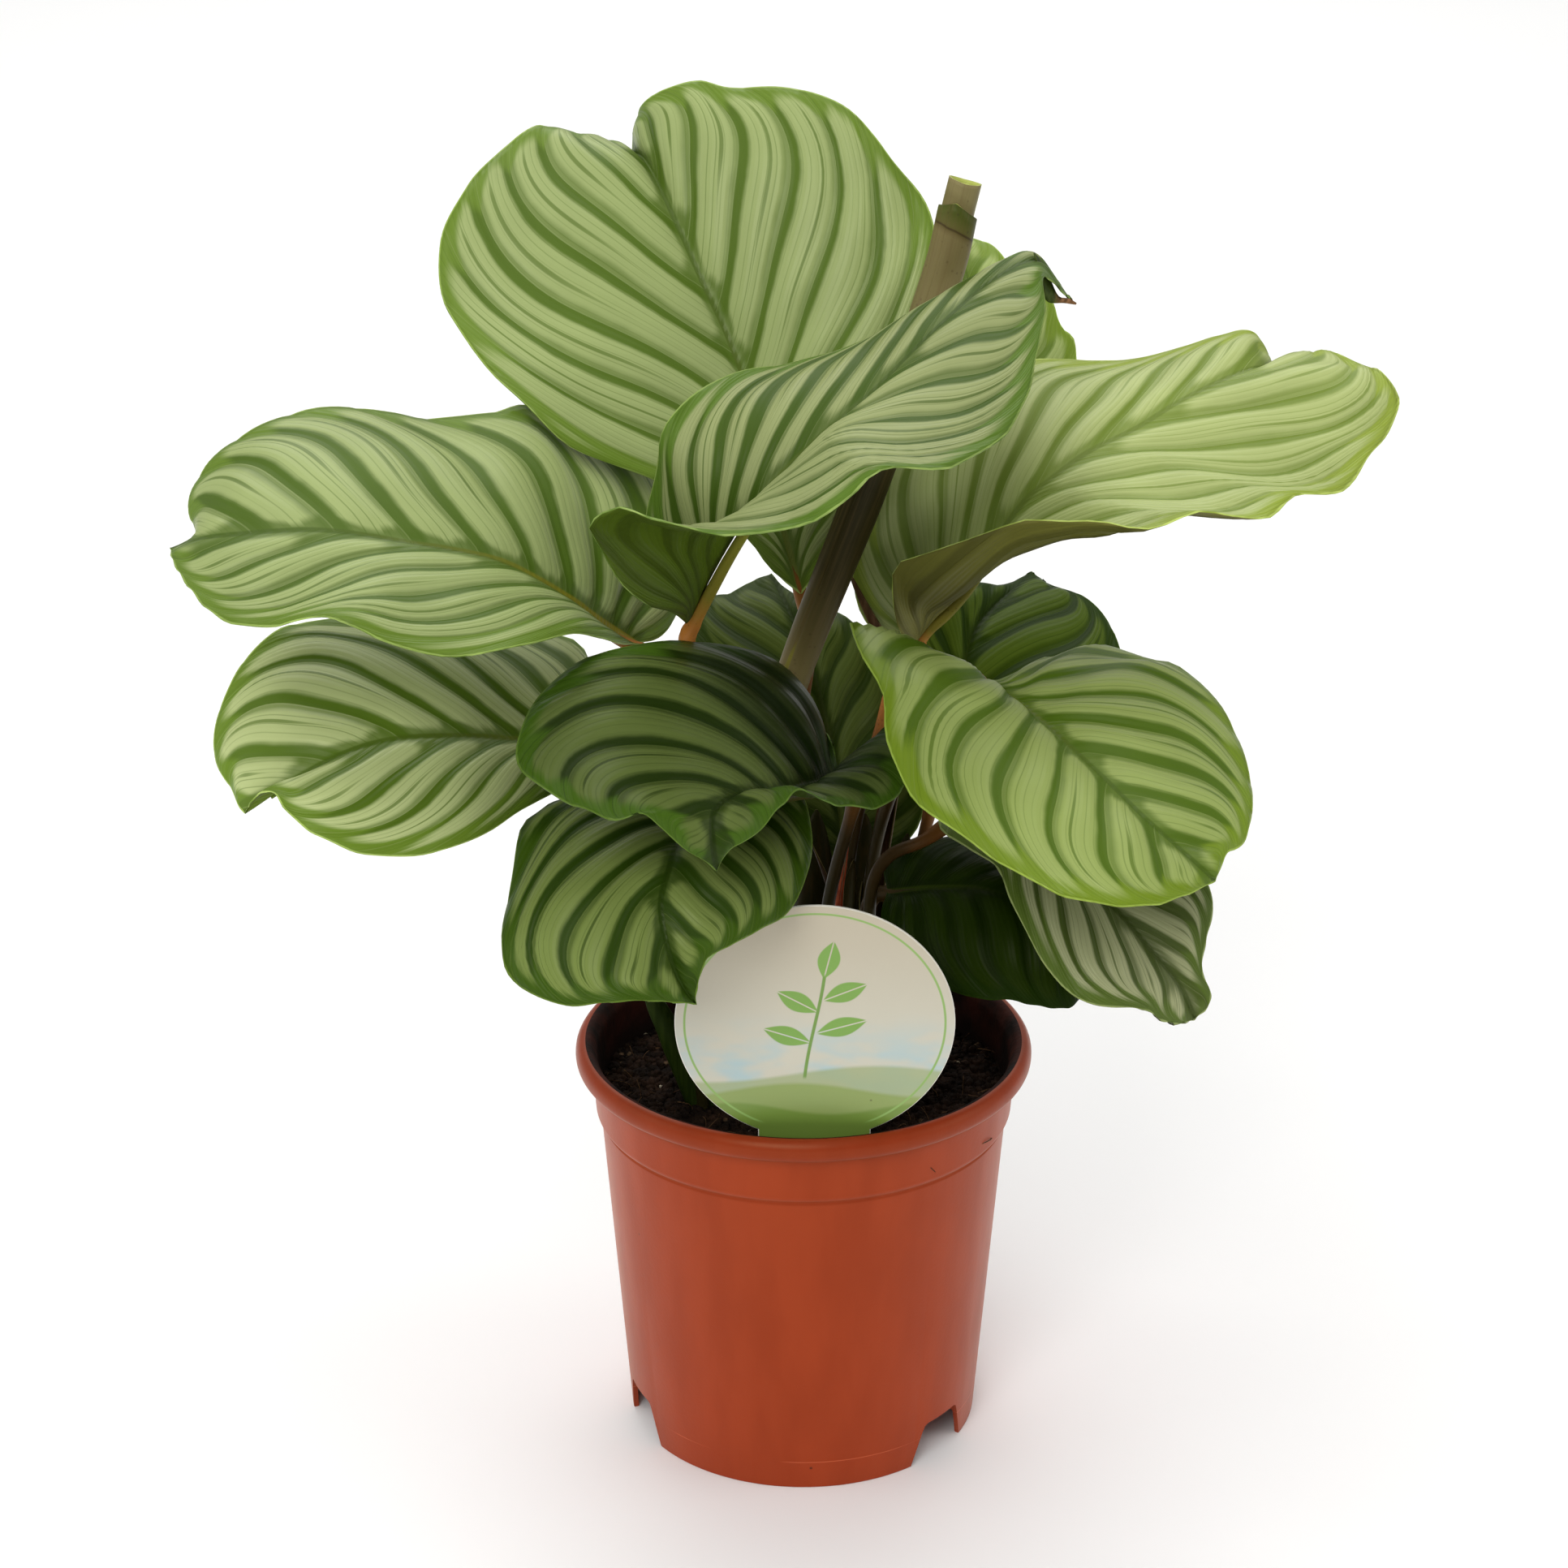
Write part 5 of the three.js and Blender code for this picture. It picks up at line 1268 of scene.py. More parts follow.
# Angles around the stem in degrees (0 is left, -90 towards the camera), and heights in mm
COLLAR_EDGE = ((-180, -120, -76, -40, 0, 90, 180), (-2.0, 0.0, 2.2, 0.8, 0.0, -3.0, -2.0))
RIDGE = ((-180, -90, -40, 0, 90, 180), (-8.7, -5.2, -4.2, -4.3, -6.5, -8.7))
CORE_CUT = ((-180, -90, 0, 90, 180), (0.4, 0.0, 0.8, 0.2, 0.4))
stem_path = SmoothCurve(STEM_PATH)
print("the stem's path in mm:", round(stem_path.length))


# %% A rolled sheet
def around_stem(table, angle):
    """The value of a table at an angle in radians."""
    degrees = (math.degrees(angle) + 180) % 360 - 180
    return float(np.interp(degrees, *table))


def rolled_sheet(name, path, radius_at, start, end, materials, edge, first_angle, turn,
                 spread=0.5, sheet=0.55):
    """A sheet rolled around the path; its UV map holds the way around and the mm above the ridge."""
    around, upward = 72, 130
    shares = np.linspace(start, end, upward)
    centres, along = path.at(shares), path.heading(shares)
    side = unit(np.cross(along, (0.0, 1.0, 0.0)))
    front = np.cross(side, along)
    points, places = [], []
    for i in range(upward):
        for k in range(around):
            share = k / (around - 1)
            angle = math.radians(first_angle) + 2 * math.pi * turn * share
            radius = radius_at(shares[i]) - spread * (1 - share)
            lift = around_stem(edge, angle) * smooth_step(shares[i], end - 0.06, end)
            outward = radius * (math.cos(angle) * side[i] + math.sin(angle) * front[i])
            points.append(centres[i] + lift * along[i] + outward)
            height = (shares[i] - SHEATH_SHARE) * path.length + lift
            places.append((share, height - around_stem(RIDGE, angle)))
    piece = make_object(name, np.array(points) * MM, grid_faces(upward, around), materials)
    add_uv(piece, "wrap", places)
    thicken(piece, sheet, inner=1, rim=1)
    return piece


# %% Stem materials
def dry_skin(name, stops, streak):
    """Grey-brown skin with long streaks and specks, its tone by the millimetres above the ridge."""
    material, nodes, shader = new_material(name, roughness=0.45, Specular_IOR_Level=0.16,
                                           Specular_Tint=WARM_SHEEN)
    turned, height = nodes.uv("wrap")
    streaks = nodes.add("ShaderNodeCombineXYZ", {0: nodes.math("MULTIPLY", turned, 46.0),
                                                 1: nodes.math("MULTIPLY", height, 0.03)}).outputs[0]
    grain = nodes.noise(streaks, 1.0, detail=3.0)
    skin = nodes.ramp(nodes.math("MULTIPLY_ADD", height, 1 / 260, 250 / 260),
                      [((mm + 250) / 260, colour) for mm, colour in stops])
    streaky = nodes.math("MULTIPLY", nodes.fade(grain, 0.4, 0.75), 0.4)
    skin = nodes.mix(streaky, skin, srgb(*streak))
    flecks = nodes.group(SPECKS, Scale=700.0, Size=0.35, Share=0.15)["Mask"]
    skin = nodes.mix(nodes.math("MULTIPLY", flecks, 0.3), skin, srgb(50, 36, 26))
    ridge = nodes.fade(nodes.math("ABSOLUTE", height), 0.45, 0.1)
    skin = nodes.mix(nodes.math("MULTIPLY", ridge, 0.75), skin, srgb(58, 44, 26))
    skin = nodes.mix(free_edge_gap(nodes, turned, height), skin, srgb(112, 106, 44))
    nodes.put(shader.inputs["Base Color"], skin)
    add_bump(nodes, shader, grain, 0.3, 0.0003)
    return material


def free_edge_gap(nodes, turned, height):
    """A wedge beside the sheet's free edge, low on the stem, where the fresher layer under it shows."""
    widening = nodes.math("MULTIPLY", nodes.fade(height, -120.0, -150.0), 0.05)
    beside_edge = nodes.math("SUBTRACT", nodes.math("SUBTRACT", turned, 0.185), widening)
    gap = nodes.math("MULTIPLY", nodes.fade(beside_edge, 0.004, -0.004), nodes.fade(height, -130.0, -136.0))
    return nodes.math("MULTIPLY", gap, nodes.fade(turned, 0.170, 0.178))


def fresh_skin(name, tone, deeper):
    """The moist inner side of a sheet, and its cut edge."""
    material, nodes, shader = new_material(name, roughness=0.4, Specular_IOR_Level=0.25)
    patches = nodes.noise(nodes.place(), 260.0)
    nodes.put(shader.inputs["Base Color"], nodes.mix(patches, srgb(*tone), srgb(*deeper)))
    return material


# Painted shade: the tones darken from -140 mm down to the soil, and in a band from -108 to -78 mm under the
# high front leaf, which is partly the skin's own darker brown too
SHEATH_TONES = [(-250, (56, 49, 24)), (-190, (78, 70, 36)), (-140, (104, 94, 56)), (-108, (60, 52, 26)),
                (-78, (44, 38, 18)), (-48, (82, 74, 44)), (-25, (116, 106, 68)), (-1.5, (120, 108, 70)),
                (-0.5, (88, 74, 42)), (1.0, (92, 90, 44)), (4.5, (70, 78, 24)), (8, (54, 66, 18))]
SHEATH_SKIN = dry_skin("sheath_skin", SHEATH_TONES, (100, 82, 52))
CORE_TONES = [(-250, (108, 98, 66)), (8, (116, 106, 68)), (10, (128, 118, 78))]
CORE_SKIN = dry_skin("core_skin", CORE_TONES, (104, 90, 58))
FRESH = fresh_skin("fresh_cut", (186, 194, 100), (164, 172, 78))
print("stem materials:", SHEATH_SKIN.name, CORE_SKIN.name, FRESH.name)


# %% Stem pieces
def sheath_radius(share):
    return np.interp(share, np.linspace(0, 1, len(SHEATH_RADII)), SHEATH_RADII)


sheath = rolled_sheet("stem_sheath", stem_path, sheath_radius, 0.03, SHEATH_SHARE, [SHEATH_SKIN, FRESH],
                      COLLAR_EDGE, first_angle=-141, turn=1.22)
core = rolled_sheet("stem_core", stem_path, lambda share: CORE_RADIUS, 0.5, 0.993, [CORE_SKIN, FRESH],
                    CORE_CUT, first_angle=100, turn=1.2, spread=0.3, sheet=0.5)
hand_in(sheath, "stem_sheath", "cut_stem_sheath")
hand_in(core, "stem_core", "cut_stem_core")

pith_path = SmoothCurve([tuple(p) for p in stem_path.at(np.linspace(0.8, 0.9905, 8))])
pith_curve = path_curve("pith path", pith_path.at(np.linspace(0, 1, 8)) * MM)
PITH_RADIUS = 0.0037
pith = grow("stem_pith", pith_curve, STALK, Sides=20, Joint=0.0, Material=FRESH,
            **{"Root radius": PITH_RADIUS, "Top radius": PITH_RADIUS, "Rib radius": PITH_RADIUS,
               "Blade starts": 1.0})
hand_in(pith, "stem_core")
print("stem triangles:", triangles(sheath), triangles(core))

# %% [markdown]
# ## The pot
# A moulded pot is a turned shape, so its wall is one profile spun around the axis. The corners of
# the profile are rounded first, because a real mould has no sharp edge and a rounded one shows a
# thin highlight. Three drain notches are cut from the skirt with Boolean modifiers.

# %% Pot sizes, in millimetres
LIP_RADIUS, LIP_TOP = 70, 128
BODY_TOP_RADIUS, BODY_TOP = 62.5, 104      # the collar steps out here
COLLAR_RADIUS, MOUTH_RADIUS = 64, 65
BASE_RADIUS, FLOOR_UNDERSIDE, WALL = 54.3, 10, 1.6
NOTCH_HEIGHT, NOTCH_BASE, NOTCH_TOP = 14, 25.6, 17
NOTCH_AZIMUTHS = (51, -68, 172)
POT_STEPS = 192
INNER_WALL_RADIUS = 66.8       # a face nearer to the axis, above the collar's step, may be inner wall
print("pot:", 2 * LIP_RADIUS, "mm across the lip,", LIP_TOP, "mm tall")


# %% Turned shapes
def rounded(corners, steps=5):
    """A profile whose corners, each (radius, height, rounding), are replaced by small arcs."""
    result = []
    for k, (r, z, rounding) in enumerate(corners):
        here = np.array((r, z), float)
        if rounding == 0 or k in (0, len(corners) - 1):
            result.append(tuple(here))
            continue
        before = np.array(corners[k - 1][:2], float) - here
        after = np.array(corners[k + 1][:2], float) - here
        start = here + before * min(0.45, rounding / np.linalg.norm(before))
        end = here + after * min(0.45, rounding / np.linalg.norm(after))
        for u in np.linspace(0, 1, steps):
            result.append(tuple((1 - u) ** 2 * start + 2 * u * (1 - u) * here + u ** 2 * end))
    return result


def spun(name, profile, steps, materials):
    """A closed solid of revolution about Z whose profile starts and ends on the axis."""
    rings = profile[1:-1]
    points = [(0, 0, profile[0][1]), (0, 0, profile[-1][1])]
    for k in range(steps):
        angle = 2 * math.pi * k / steps
        points.extend((r * math.cos(angle), r * math.sin(angle), z) for r, z in rings)
    faces = []
    count = len(rings)
    for k in range(steps):
        here, there = 2 + k * count, 2 + (k + 1) % steps * count
        faces.append([0, there, here])
        faces.extend([here + i, there + i, there + i + 1, here + i + 1] for i in range(count - 1))
        faces.append([1, here + count - 1, there + count - 1])
    return make_object(name, np.array(points) * MM, faces, materials)


print("points in a corner rounded by 1 mm:", len(rounded([(0, 0, 0), (5, 0, 1), (5, 5, 0)])) - 2)

# %% Pot material
POT_SKIN, nodes, shader = new_material("moulded_terracotta_plastic", 0.36, Specular_IOR_Level=0.2,
                                       Specular_Tint=(1.0, 0.86, 0.5, 1.0),
                                       Sheen_Weight=0.12, Sheen_Roughness=0.4,
                                       Sheen_Tint=(1.0, 0.62, 0.36, 1.0))
clouds = nodes.group(MOTTLING, Scale=14.0, Contrast=0.22)["Value"]
flow = nodes.grain(0.25, 90.0, detail=3.0)
skin = nodes.mix(nodes.fade(flow, 0.3, 0.7), srgb(160, 59, 27), srgb(152, 54, 23))
skin = nodes.shade(skin, clouds)
dust = nodes.group(SPECKS, Scale=95.0, Size=0.06, Share=0.22)["Mask"]
skin = nodes.mix(nodes.math("MULTIPLY", dust, 0.75), skin, srgb(66, 28, 18))
pale_dust = nodes.group(SPECKS, Scale=120.0, Size=0.05, Share=0.06)["Mask"]
skin = nodes.mix(nodes.math("MULTIPLY", pale_dust, 0.7), skin, srgb(226, 150, 110))

# The rim is darker, and the inner wall above the soil is dark: both are painted shade
east, north, height = nodes.xyz()
from_axis = nodes.math("SQRT", nodes.math("MULTIPLY_ADD", east, east, nodes.math("MULTIPLY", north, north)))
# Painted shade: the lip is painted darker, as in the shade of the leaves above
lip = nodes.fade(height, 0.1195, 0.1215)
skin = nodes.mix(nodes.math("MULTIPLY", lip, 0.35), skin, srgb(104, 34, 14))
# Painted shade: the inside of the lip and wall, near the axis and below the lip's top, is painted dark
inner_shade = nodes.math("MULTIPLY", nodes.fade(from_axis, 0.0668, 0.0658), nodes.fade(height, 0.1225, 0.1235))
skin = nodes.mix(nodes.math("MULTIPLY", inner_shade, 0.85), skin, srgb(34, 19, 13))

# A fine pale line around the foot, left by the mould and worn away in places
mould_line = nodes.fade(nodes.math("ABSOLUTE", nodes.math("SUBTRACT", height, 0.0095)), 0.00022, 0.00008)
worn = nodes.fade(nodes.noise(nodes.place(), 45.0), 0.42, 0.62)
shows = nodes.math("MULTIPLY", nodes.math("MULTIPLY", mould_line, worn), 0.5)
skin = nodes.mix(shows, skin, srgb(222, 112, 76))

# Matt below the collar's step and below the lip, and painted a little darker there as painted shade under
# the step and the lip
from_step = nodes.math("ABSOLUTE", nodes.math("SUBTRACT", height, BODY_TOP * MM))
from_lip = nodes.math("ABSOLUTE", nodes.math("SUBTRACT", height, (LIP_TOP - 7.7) * MM))
matt_and_shade = nodes.math("MAXIMUM", nodes.fade(from_step, 0.0016, 0.0006), nodes.fade(from_lip, 0.0014, 0.0008))
matt_and_shade = nodes.math("MULTIPLY", matt_and_shade, 0.95)
nodes.put(shader.inputs["Roughness"],
          nodes.math("MAXIMUM", nodes.math("MULTIPLY_ADD", flow, 0.14, 0.30), matt_and_shade))
skin = nodes.mix(nodes.math("MULTIPLY", matt_and_shade, 0.3), skin, srgb(112, 40, 18))
nodes.put(shader.inputs["Base Color"], skin)
fine = nodes.noise(nodes.place(), 900.0, detail=2.0)
add_bump(nodes, shader, fine, 0.10, 0.0003)
print("nodes in the pot's material:", len(POT_SKIN.node_tree.nodes))

# %% Material of the inner wall
# Above the soil it is painted dark, as the shade inside the pot, in uneven patches that lighten towards the
# rim
SHADED_INNER_WALL, nodes, shader = new_material("pot_inner_wall_painted_shade", 0.7, Specular_IOR_Level=0.1)
inner_patches = nodes.fade(nodes.noise(nodes.place(), 80.0, detail=5.0), 0.35, 0.7)
lighter_to_rim = nodes.math("MULTIPLY", inner_patches, nodes.fade(nodes.xyz()[2], 0.108, 0.124))
nodes.put(shader.inputs["Base Color"], nodes.mix(lighter_to_rim, srgb(28, 18, 13), srgb(72, 33, 23)))
add_bump(nodes, shader, nodes.noise(nodes.place(), 500.0, detail=5.0), 0.5, 0.0005)
print("nodes in the inner wall's material:", len(SHADED_INNER_WALL.node_tree.nodes))


# %% Pot wall
def wall_radius(z):
    """The outside of the body at a height."""
    return BASE_RADIUS + (BODY_TOP_RADIUS - BASE_RADIUS) * z / BODY_TOP


# The lip's corners: mm inward, mm down and the rounding
lip = [(1.5, 7.4, 0.6), (0, 5.6, 1.6), (0, 2.6, 1.6), (1.2, 0.7, 1.2), (3.0, 0, 1.2), (4.8, 0.8, 1.0)]
FLOOR_TOP = FLOOR_UNDERSIDE + WALL
pot_corners = [
    (0, FLOOR_UNDERSIDE, 0), (wall_radius(FLOOR_UNDERSIDE) - WALL, FLOOR_UNDERSIDE, 0.8),
    (wall_radius(0) - WALL, 0, 0.4), (wall_radius(0), 0, 0.5), (BODY_TOP_RADIUS, BODY_TOP, 0.8),
    (COLLAR_RADIUS, BODY_TOP + 1.6, 0.9), (MOUTH_RADIUS, LIP_TOP - 8, 1.0),
    *((LIP_RADIUS - inward, LIP_TOP - down, rounding) for inward, down, rounding in lip),
    (MOUTH_RADIUS - WALL, LIP_TOP - 4, 1.2), (COLLAR_RADIUS - WALL, BODY_TOP + 2, 0.8),
    (BODY_TOP_RADIUS - WALL, BODY_TOP, 0.8), (wall_radius(FLOOR_TOP) - WALL, FLOOR_TOP, 1.0),
    (0, FLOOR_TOP, 0)]
pot = spun("nursery_pot", rounded(pot_corners), POT_STEPS, [POT_SKIN])
print("triangles of the wall:", triangles(pot))


# %% Drain notches
def notch_cutter(azimuth):
    """A block with cut top corners that reaches through the skirt."""
    inner, outer = BASE_RADIUS - 2 * WALL, BASE_RADIUS + WALL + 1
    half_base, half_top, corner = NOTCH_BASE / 2, NOTCH_TOP / 2, 2
    side = [(half_base, -1), (half_top + 0.6, NOTCH_HEIGHT - corner - 1.5),
            (half_top, NOTCH_HEIGHT - corner), (half_top - 0.7, NOTCH_HEIGHT - 0.6),
            (half_top - corner, NOTCH_HEIGHT)]
    outline = side + [(-x, z) for x, z in reversed(side)]
    count = len(outline)
    cosine, sine = math.cos(math.radians(azimuth)), math.sin(math.radians(azimuth))
    points = [(x * cosine + depth * sine, x * sine - depth * cosine, z)
              for depth in (inner, outer) for x, z in outline]
    faces = [list(reversed(range(count))), list(range(count, 2 * count))]
    faces += [[i, (i + 1) % count, count + (i + 1) % count, count + i] for i in range(count)]
    return make_object("notch", np.array(points) * MM, faces, [POT_SKIN], smooth=False)


cutters = [notch_cutter(azimuth) for azimuth in NOTCH_AZIMUTHS]
for cutter in cutters:
    cut = pot.modifiers.new("notch", "BOOLEAN")
    cut.operation = "DIFFERENCE"
    cut.solver = "EXACT"
    cut.object = cutter
pot_mesh = bpy.data.meshes.new_from_object(pot.evaluated_get(bpy.context.evaluated_depsgraph_get()))
pot.modifiers.clear()
pot.data = pot_mesh
for cutter in cutters:
    bpy.data.objects.remove(cutter)
pot.data.set_sharp_from_angle(angle=math.radians(38))
print("drain notches:", len(NOTCH_AZIMUTHS))

# %% Inner wall in painted shade, and hand-in
pot.data.materials.append(SHADED_INNER_WALL)
for face in pot.data.polygons:
    outwards = Vector((face.center.x, face.center.y, 0)).normalized()
    inside = math.hypot(face.center.x, face.center.y) < INNER_WALL_RADIUS * MM
    if inside and face.center.z > BODY_TOP * MM and face.normal.dot(outwards) < -0.05:
        face.material_index = len(pot.data.materials) - 1
hand_in(pot, "pot", "pot")
print("pot triangles:", triangles(pot))

# %% [markdown]
# ## The soil
# Potting soil is a heap of crumbs, fibres and a few pale grains. The bed under them is a spun block
# with a bumpy top. A Geometry Nodes tree then strews crumbs over the faces that look up: each is a
# small stone shape, turned and sized at random from a fixed seed. The same tree is run a second
# time with a bent thread in place of the crumb.

# %% Soil sizes
SOIL_RADIUS = 62.2        # mm, just inside the wall
SOIL_BUMP = 2.4           # mm for each unit of noise
CLEARANCE = 0.4           # mm, from the wall and the floor


def soil_height(x, y):
    """Three sizes of bumps on the level."""
    place = Vector((x, y, 0)) * 0.045
    rough = noise.noise(place) + 0.5 * noise.noise(place * 3.1) + 0.25 * noise.noise(place * 9)
    return SOIL_LEVEL + SOIL_BUMP * rough


print("height of the soil in its middle, mm:", round(soil_height(0, 0), 1))


# %% Soil materials
def soil_material(name, dark, brown, pale):
    """Rough and dull, in patches of two tones with specks of a third."""
    material, nodes, shader = new_material(name, roughness=0.95, Specular_IOR_Level=0.1)
    shade = nodes.noise(nodes.place(), 160.0, detail=6.0)
    colour = nodes.mix(nodes.fade(shade, 0.35, 0.75), srgb(*dark), srgb(*brown))
    grains = nodes.group(SPECKS, Scale=420.0, Size=0.45, Share=0.05)["Mask"]
    colour = nodes.mix(nodes.math("MULTIPLY", grains, 0.8), colour, srgb(*pale))
    nodes.put(shader.inputs["Base Color"], colour)
    add_bump(nodes, shader, nodes.noise(nodes.place(), 700.0, detail=6.0), 1.0, 0.0012)
    return material


SOIL_SKIN = soil_material("potting_soil", (24, 17, 12), (52, 36, 26), (110, 88, 66))
GRAIN_SKIN = soil_material("soil_grain", (150, 138, 116), (190, 178, 156), (120, 100, 80))
FIBRE_SKIN = soil_material("soil_fibre", (70, 50, 34), (112, 84, 56), (60, 40, 26))
print("soil materials:", SOIL_SKIN.name, GRAIN_SKIN.name, FIBRE_SKIN.name)

# %% Soil bed
rings = 46
bed_profile = [(0, FLOOR_TOP + CLEARANCE), (wall_radius(12) - WALL - CLEARANCE, FLOOR_TOP + CLEARANCE),
               (BODY_TOP_RADIUS - WALL - CLEARANCE, BODY_TOP), (SOIL_RADIUS - 0.1, SOIL_LEVEL - 2)]
bed_profile += [(SOIL_RADIUS * (1 - k / rings), SOIL_LEVEL) for k in range(rings)] + [(0, SOIL_LEVEL)]
bed = spun("soil_bed", bed_profile, 160, [SOIL_SKIN])
for vertex in bed.data.vertices:
    if vertex.co.z > (SOIL_LEVEL - 1) * MM:
        vertex.co.z = soil_height(vertex.co.x / MM, vertex.co.y / MM) * MM
bed.data.update()
print("soil bed triangles:", triangles(bed))

# %% Strewing tree
STREWN, nodes, given, out = new_tree("strewn", [
    ("Bit", "Object", None), ("How many", "Float", 100000.0), ("Smallest", "Float", 0.4),
    ("Largest", "Float", 1.3), ("Seed", "Int", 3), ("Material", "Material", None)])
normal = nodes.add("GeometryNodeInputNormal").outputs[0]
facing_up = nodes.math("GREATER_THAN", nodes.add("ShaderNodeSeparateXYZ", {0: normal}).outputs[2], 0.4)
spots = nodes.add("GeometryNodeDistributePointsOnFaces", {
    "Mesh": given["Geometry"], "Selection": facing_up, "Density": given["How many"], "Seed": given["Seed"]})
bit = nodes.add("GeometryNodeObjectInfo", {"Object": given["Bit"]})
turn = nodes.add("FunctionNodeRandomValue", {"Min": (0.0, 0.0, 0.0), "Max": (6.28, 6.28, 6.28),
                                             "Seed": given["Seed"]}, data_type="FLOAT_VECTOR")
size = nodes.add("FunctionNodeRandomValue", {"Seed": given["Seed"]}, data_type="FLOAT")
nodes.put(size.inputs[2], given["Smallest"])
nodes.put(size.inputs[3], given["Largest"])
placed = nodes.add("GeometryNodeInstanceOnPoints", {
    "Points": spots.outputs[0], "Instance": bit.outputs["Geometry"], "Rotation": turn.outputs[0]})
nodes.put(placed.inputs["Scale"], size.outputs[1])
finish_tree(nodes, placed.outputs[0], given["Material"], out)
print("nodes in the strewing tree:", len(STREWN.nodes))


# %% A crumb and a fibre
def pebble(name, radius, seed):
    """A low, uneven stone shape."""
    draw = random.Random(seed)
    golden = (1 + math.sqrt(5)) / 2
    corners = [(-1, golden, 0), (1, golden, 0), (-1, -golden, 0), (1, -golden, 0), (0, -1, golden),
               (0, 1, golden), (0, -1, -golden), (0, 1, -golden), (golden, 0, -1), (golden, 0, 1),
               (-golden, 0, -1), (-golden, 0, 1)]
    faces = [(0, 11, 5), (0, 5, 1), (0, 1, 7), (0, 7, 10), (0, 10, 11), (1, 5, 9), (5, 11, 4),
             (11, 10, 2), (10, 7, 6), (7, 1, 8), (3, 9, 4), (3, 4, 2), (3, 2, 6), (3, 6, 8),
             (3, 8, 9), (4, 9, 5), (2, 4, 11), (6, 2, 10), (8, 6, 7), (9, 8, 1)]
    points = [Vector(c).normalized() * radius * draw.uniform(0.65, 1.25) for c in corners]
    return make_object(name, points, faces, smooth=True)


FIBRE_STEPS = 7


def thread(name, length, thickness):
    """A bent three-sided thread."""
    points, faces = [], []
    for i in range(FIBRE_STEPS):
        share = i / (FIBRE_STEPS - 1)
        centre = Vector((length * (share - 0.5), 0.22 * length * math.sin(3.2 * share),
                         0.12 * length * share ** 2))
        for k in range(3):
            angle = 2 * math.pi * k / 3
            points.append(centre + thickness * Vector((0, math.cos(angle), math.sin(angle))))
    for i in range(FIBRE_STEPS - 1):
        for k in range(3):
            a, b = i * 3 + k, i * 3 + (k + 1) % 3
            faces.append([a, a + 3, b + 3, b])
    last = 3 * FIBRE_STEPS - 1
    faces += [[0, 1, 2], [last, last - 1, last - 2]]
    return make_object(name, points, faces)


print("points in a fibre:", 3 * FIBRE_STEPS)


# %% Strewn soil
def strew(name, bit, material, finish, **settings):
    """Runs the strewing tree over the soil bed and puts the bit away again."""
    piece = grow(name, bed.data, STREWN, Bit=bit, Material=material, **settings)
    bpy.data.objects.remove(bit)
    hand_in(piece, finish)
    print(name, "triangles:", triangles(piece))
    return piece


strew("soil_crumbs", pebble("crumb", 0.00085, 5), SOIL_SKIN, "soil",
      **{"How many": 340000.0, "Smallest": 0.5, "Largest": 2.0, "Seed": 4})
strew("soil_grains", pebble("grain", 0.0007, 8), GRAIN_SKIN, "soil",
      **{"How many": 2600.0, "Smallest": 0.5, "Largest": 1.3, "Seed": 9})
strew("soil_fibres", thread("fibre", 0.011, 0.00018), FIBRE_SKIN, "soil",
      **{"How many": 16000.0, "Smallest": 0.4, "Largest": 1.2, "Seed": 12})
hand_in(bed, "soil", "soil")

# %% [markdown]
# ## The label
# The label is a stiff round card with a tab that stands in the soil. Its print here is a plain one
# of the same kind of colours: off-white, a fine green ring, low hills in blue and green along the
# bottom and a sprig of leaves. A leaf shape is the same small formula each time, so it is a node
# group with a place, a turn and a size.

# %% Label card
LABEL_RADIUS, LABEL_THICKNESS = 40.5, 0.8
LABEL_BOTTOM = Vector((2.9, -58, 123.2))
LABEL_LEAN = math.radians(7.5)
TAB_WIDTH, TAB_DEPTH = 33, 35
# The edge is softened by four outlines: mm inward, and the depth as a share of the thickness
LABEL_LAYERS = [(0.25, -0.5), (0.0, -0.28), (0.0, 0.28), (0.25, 0.5)]


def label_outline(margin, steps=120):
    """The disc and its tab in the card's own plane, x across and y up from the disc's lowest point."""
    half = TAB_WIDTH / 2 - margin
    meet = math.asin(half / (LABEL_RADIUS - margin))
    points = [(-half, -TAB_DEPTH + margin), (half, -TAB_DEPTH + margin)]
    for k in range(steps):
        angle = meet - math.pi / 2 + (2 * math.pi - 2 * meet) * k / (steps - 1)
        points.append(((LABEL_RADIUS - margin) * math.cos(angle),
                       LABEL_RADIUS + (LABEL_RADIUS - margin) * math.sin(angle)))
    return points


def make_label(materials):
    """Front and back and the edge between them; the print's UV map has the disc's centre at 0, 0."""
    up = Vector((0, -math.sin(LABEL_LEAN), math.cos(LABEL_LEAN)))
    ahead = Vector((0, -math.cos(LABEL_LEAN), -math.sin(LABEL_LEAN)))
    points, places = [], []
    for margin, depth in LABEL_LAYERS:
        for x, y in label_outline(margin):
            points.append(LABEL_BOTTOM + Vector((x, 0, 0)) + y * up + depth * LABEL_THICKNESS * ahead)
            places.append((x / LABEL_RADIUS, (y - LABEL_RADIUS) / LABEL_RADIUS))
    count = len(points) // len(LABEL_LAYERS)
    faces = [list(reversed(range(count))), list(range(3 * count, 4 * count))]
    for layer in range(len(LABEL_LAYERS) - 1):
        for i in range(count):
            a, b = layer * count + i, layer * count + (i + 1) % count
            faces.append([a, b, b + count, a + count])
    piece = make_object("plant_label_card", [p * MM for p in points], faces, materials, smooth=False)
    add_uv(piece, "print", places)
    piece.data.polygons[1].material_index = 1
    return piece


print("points in the label's outline:", len(label_outline(0)))

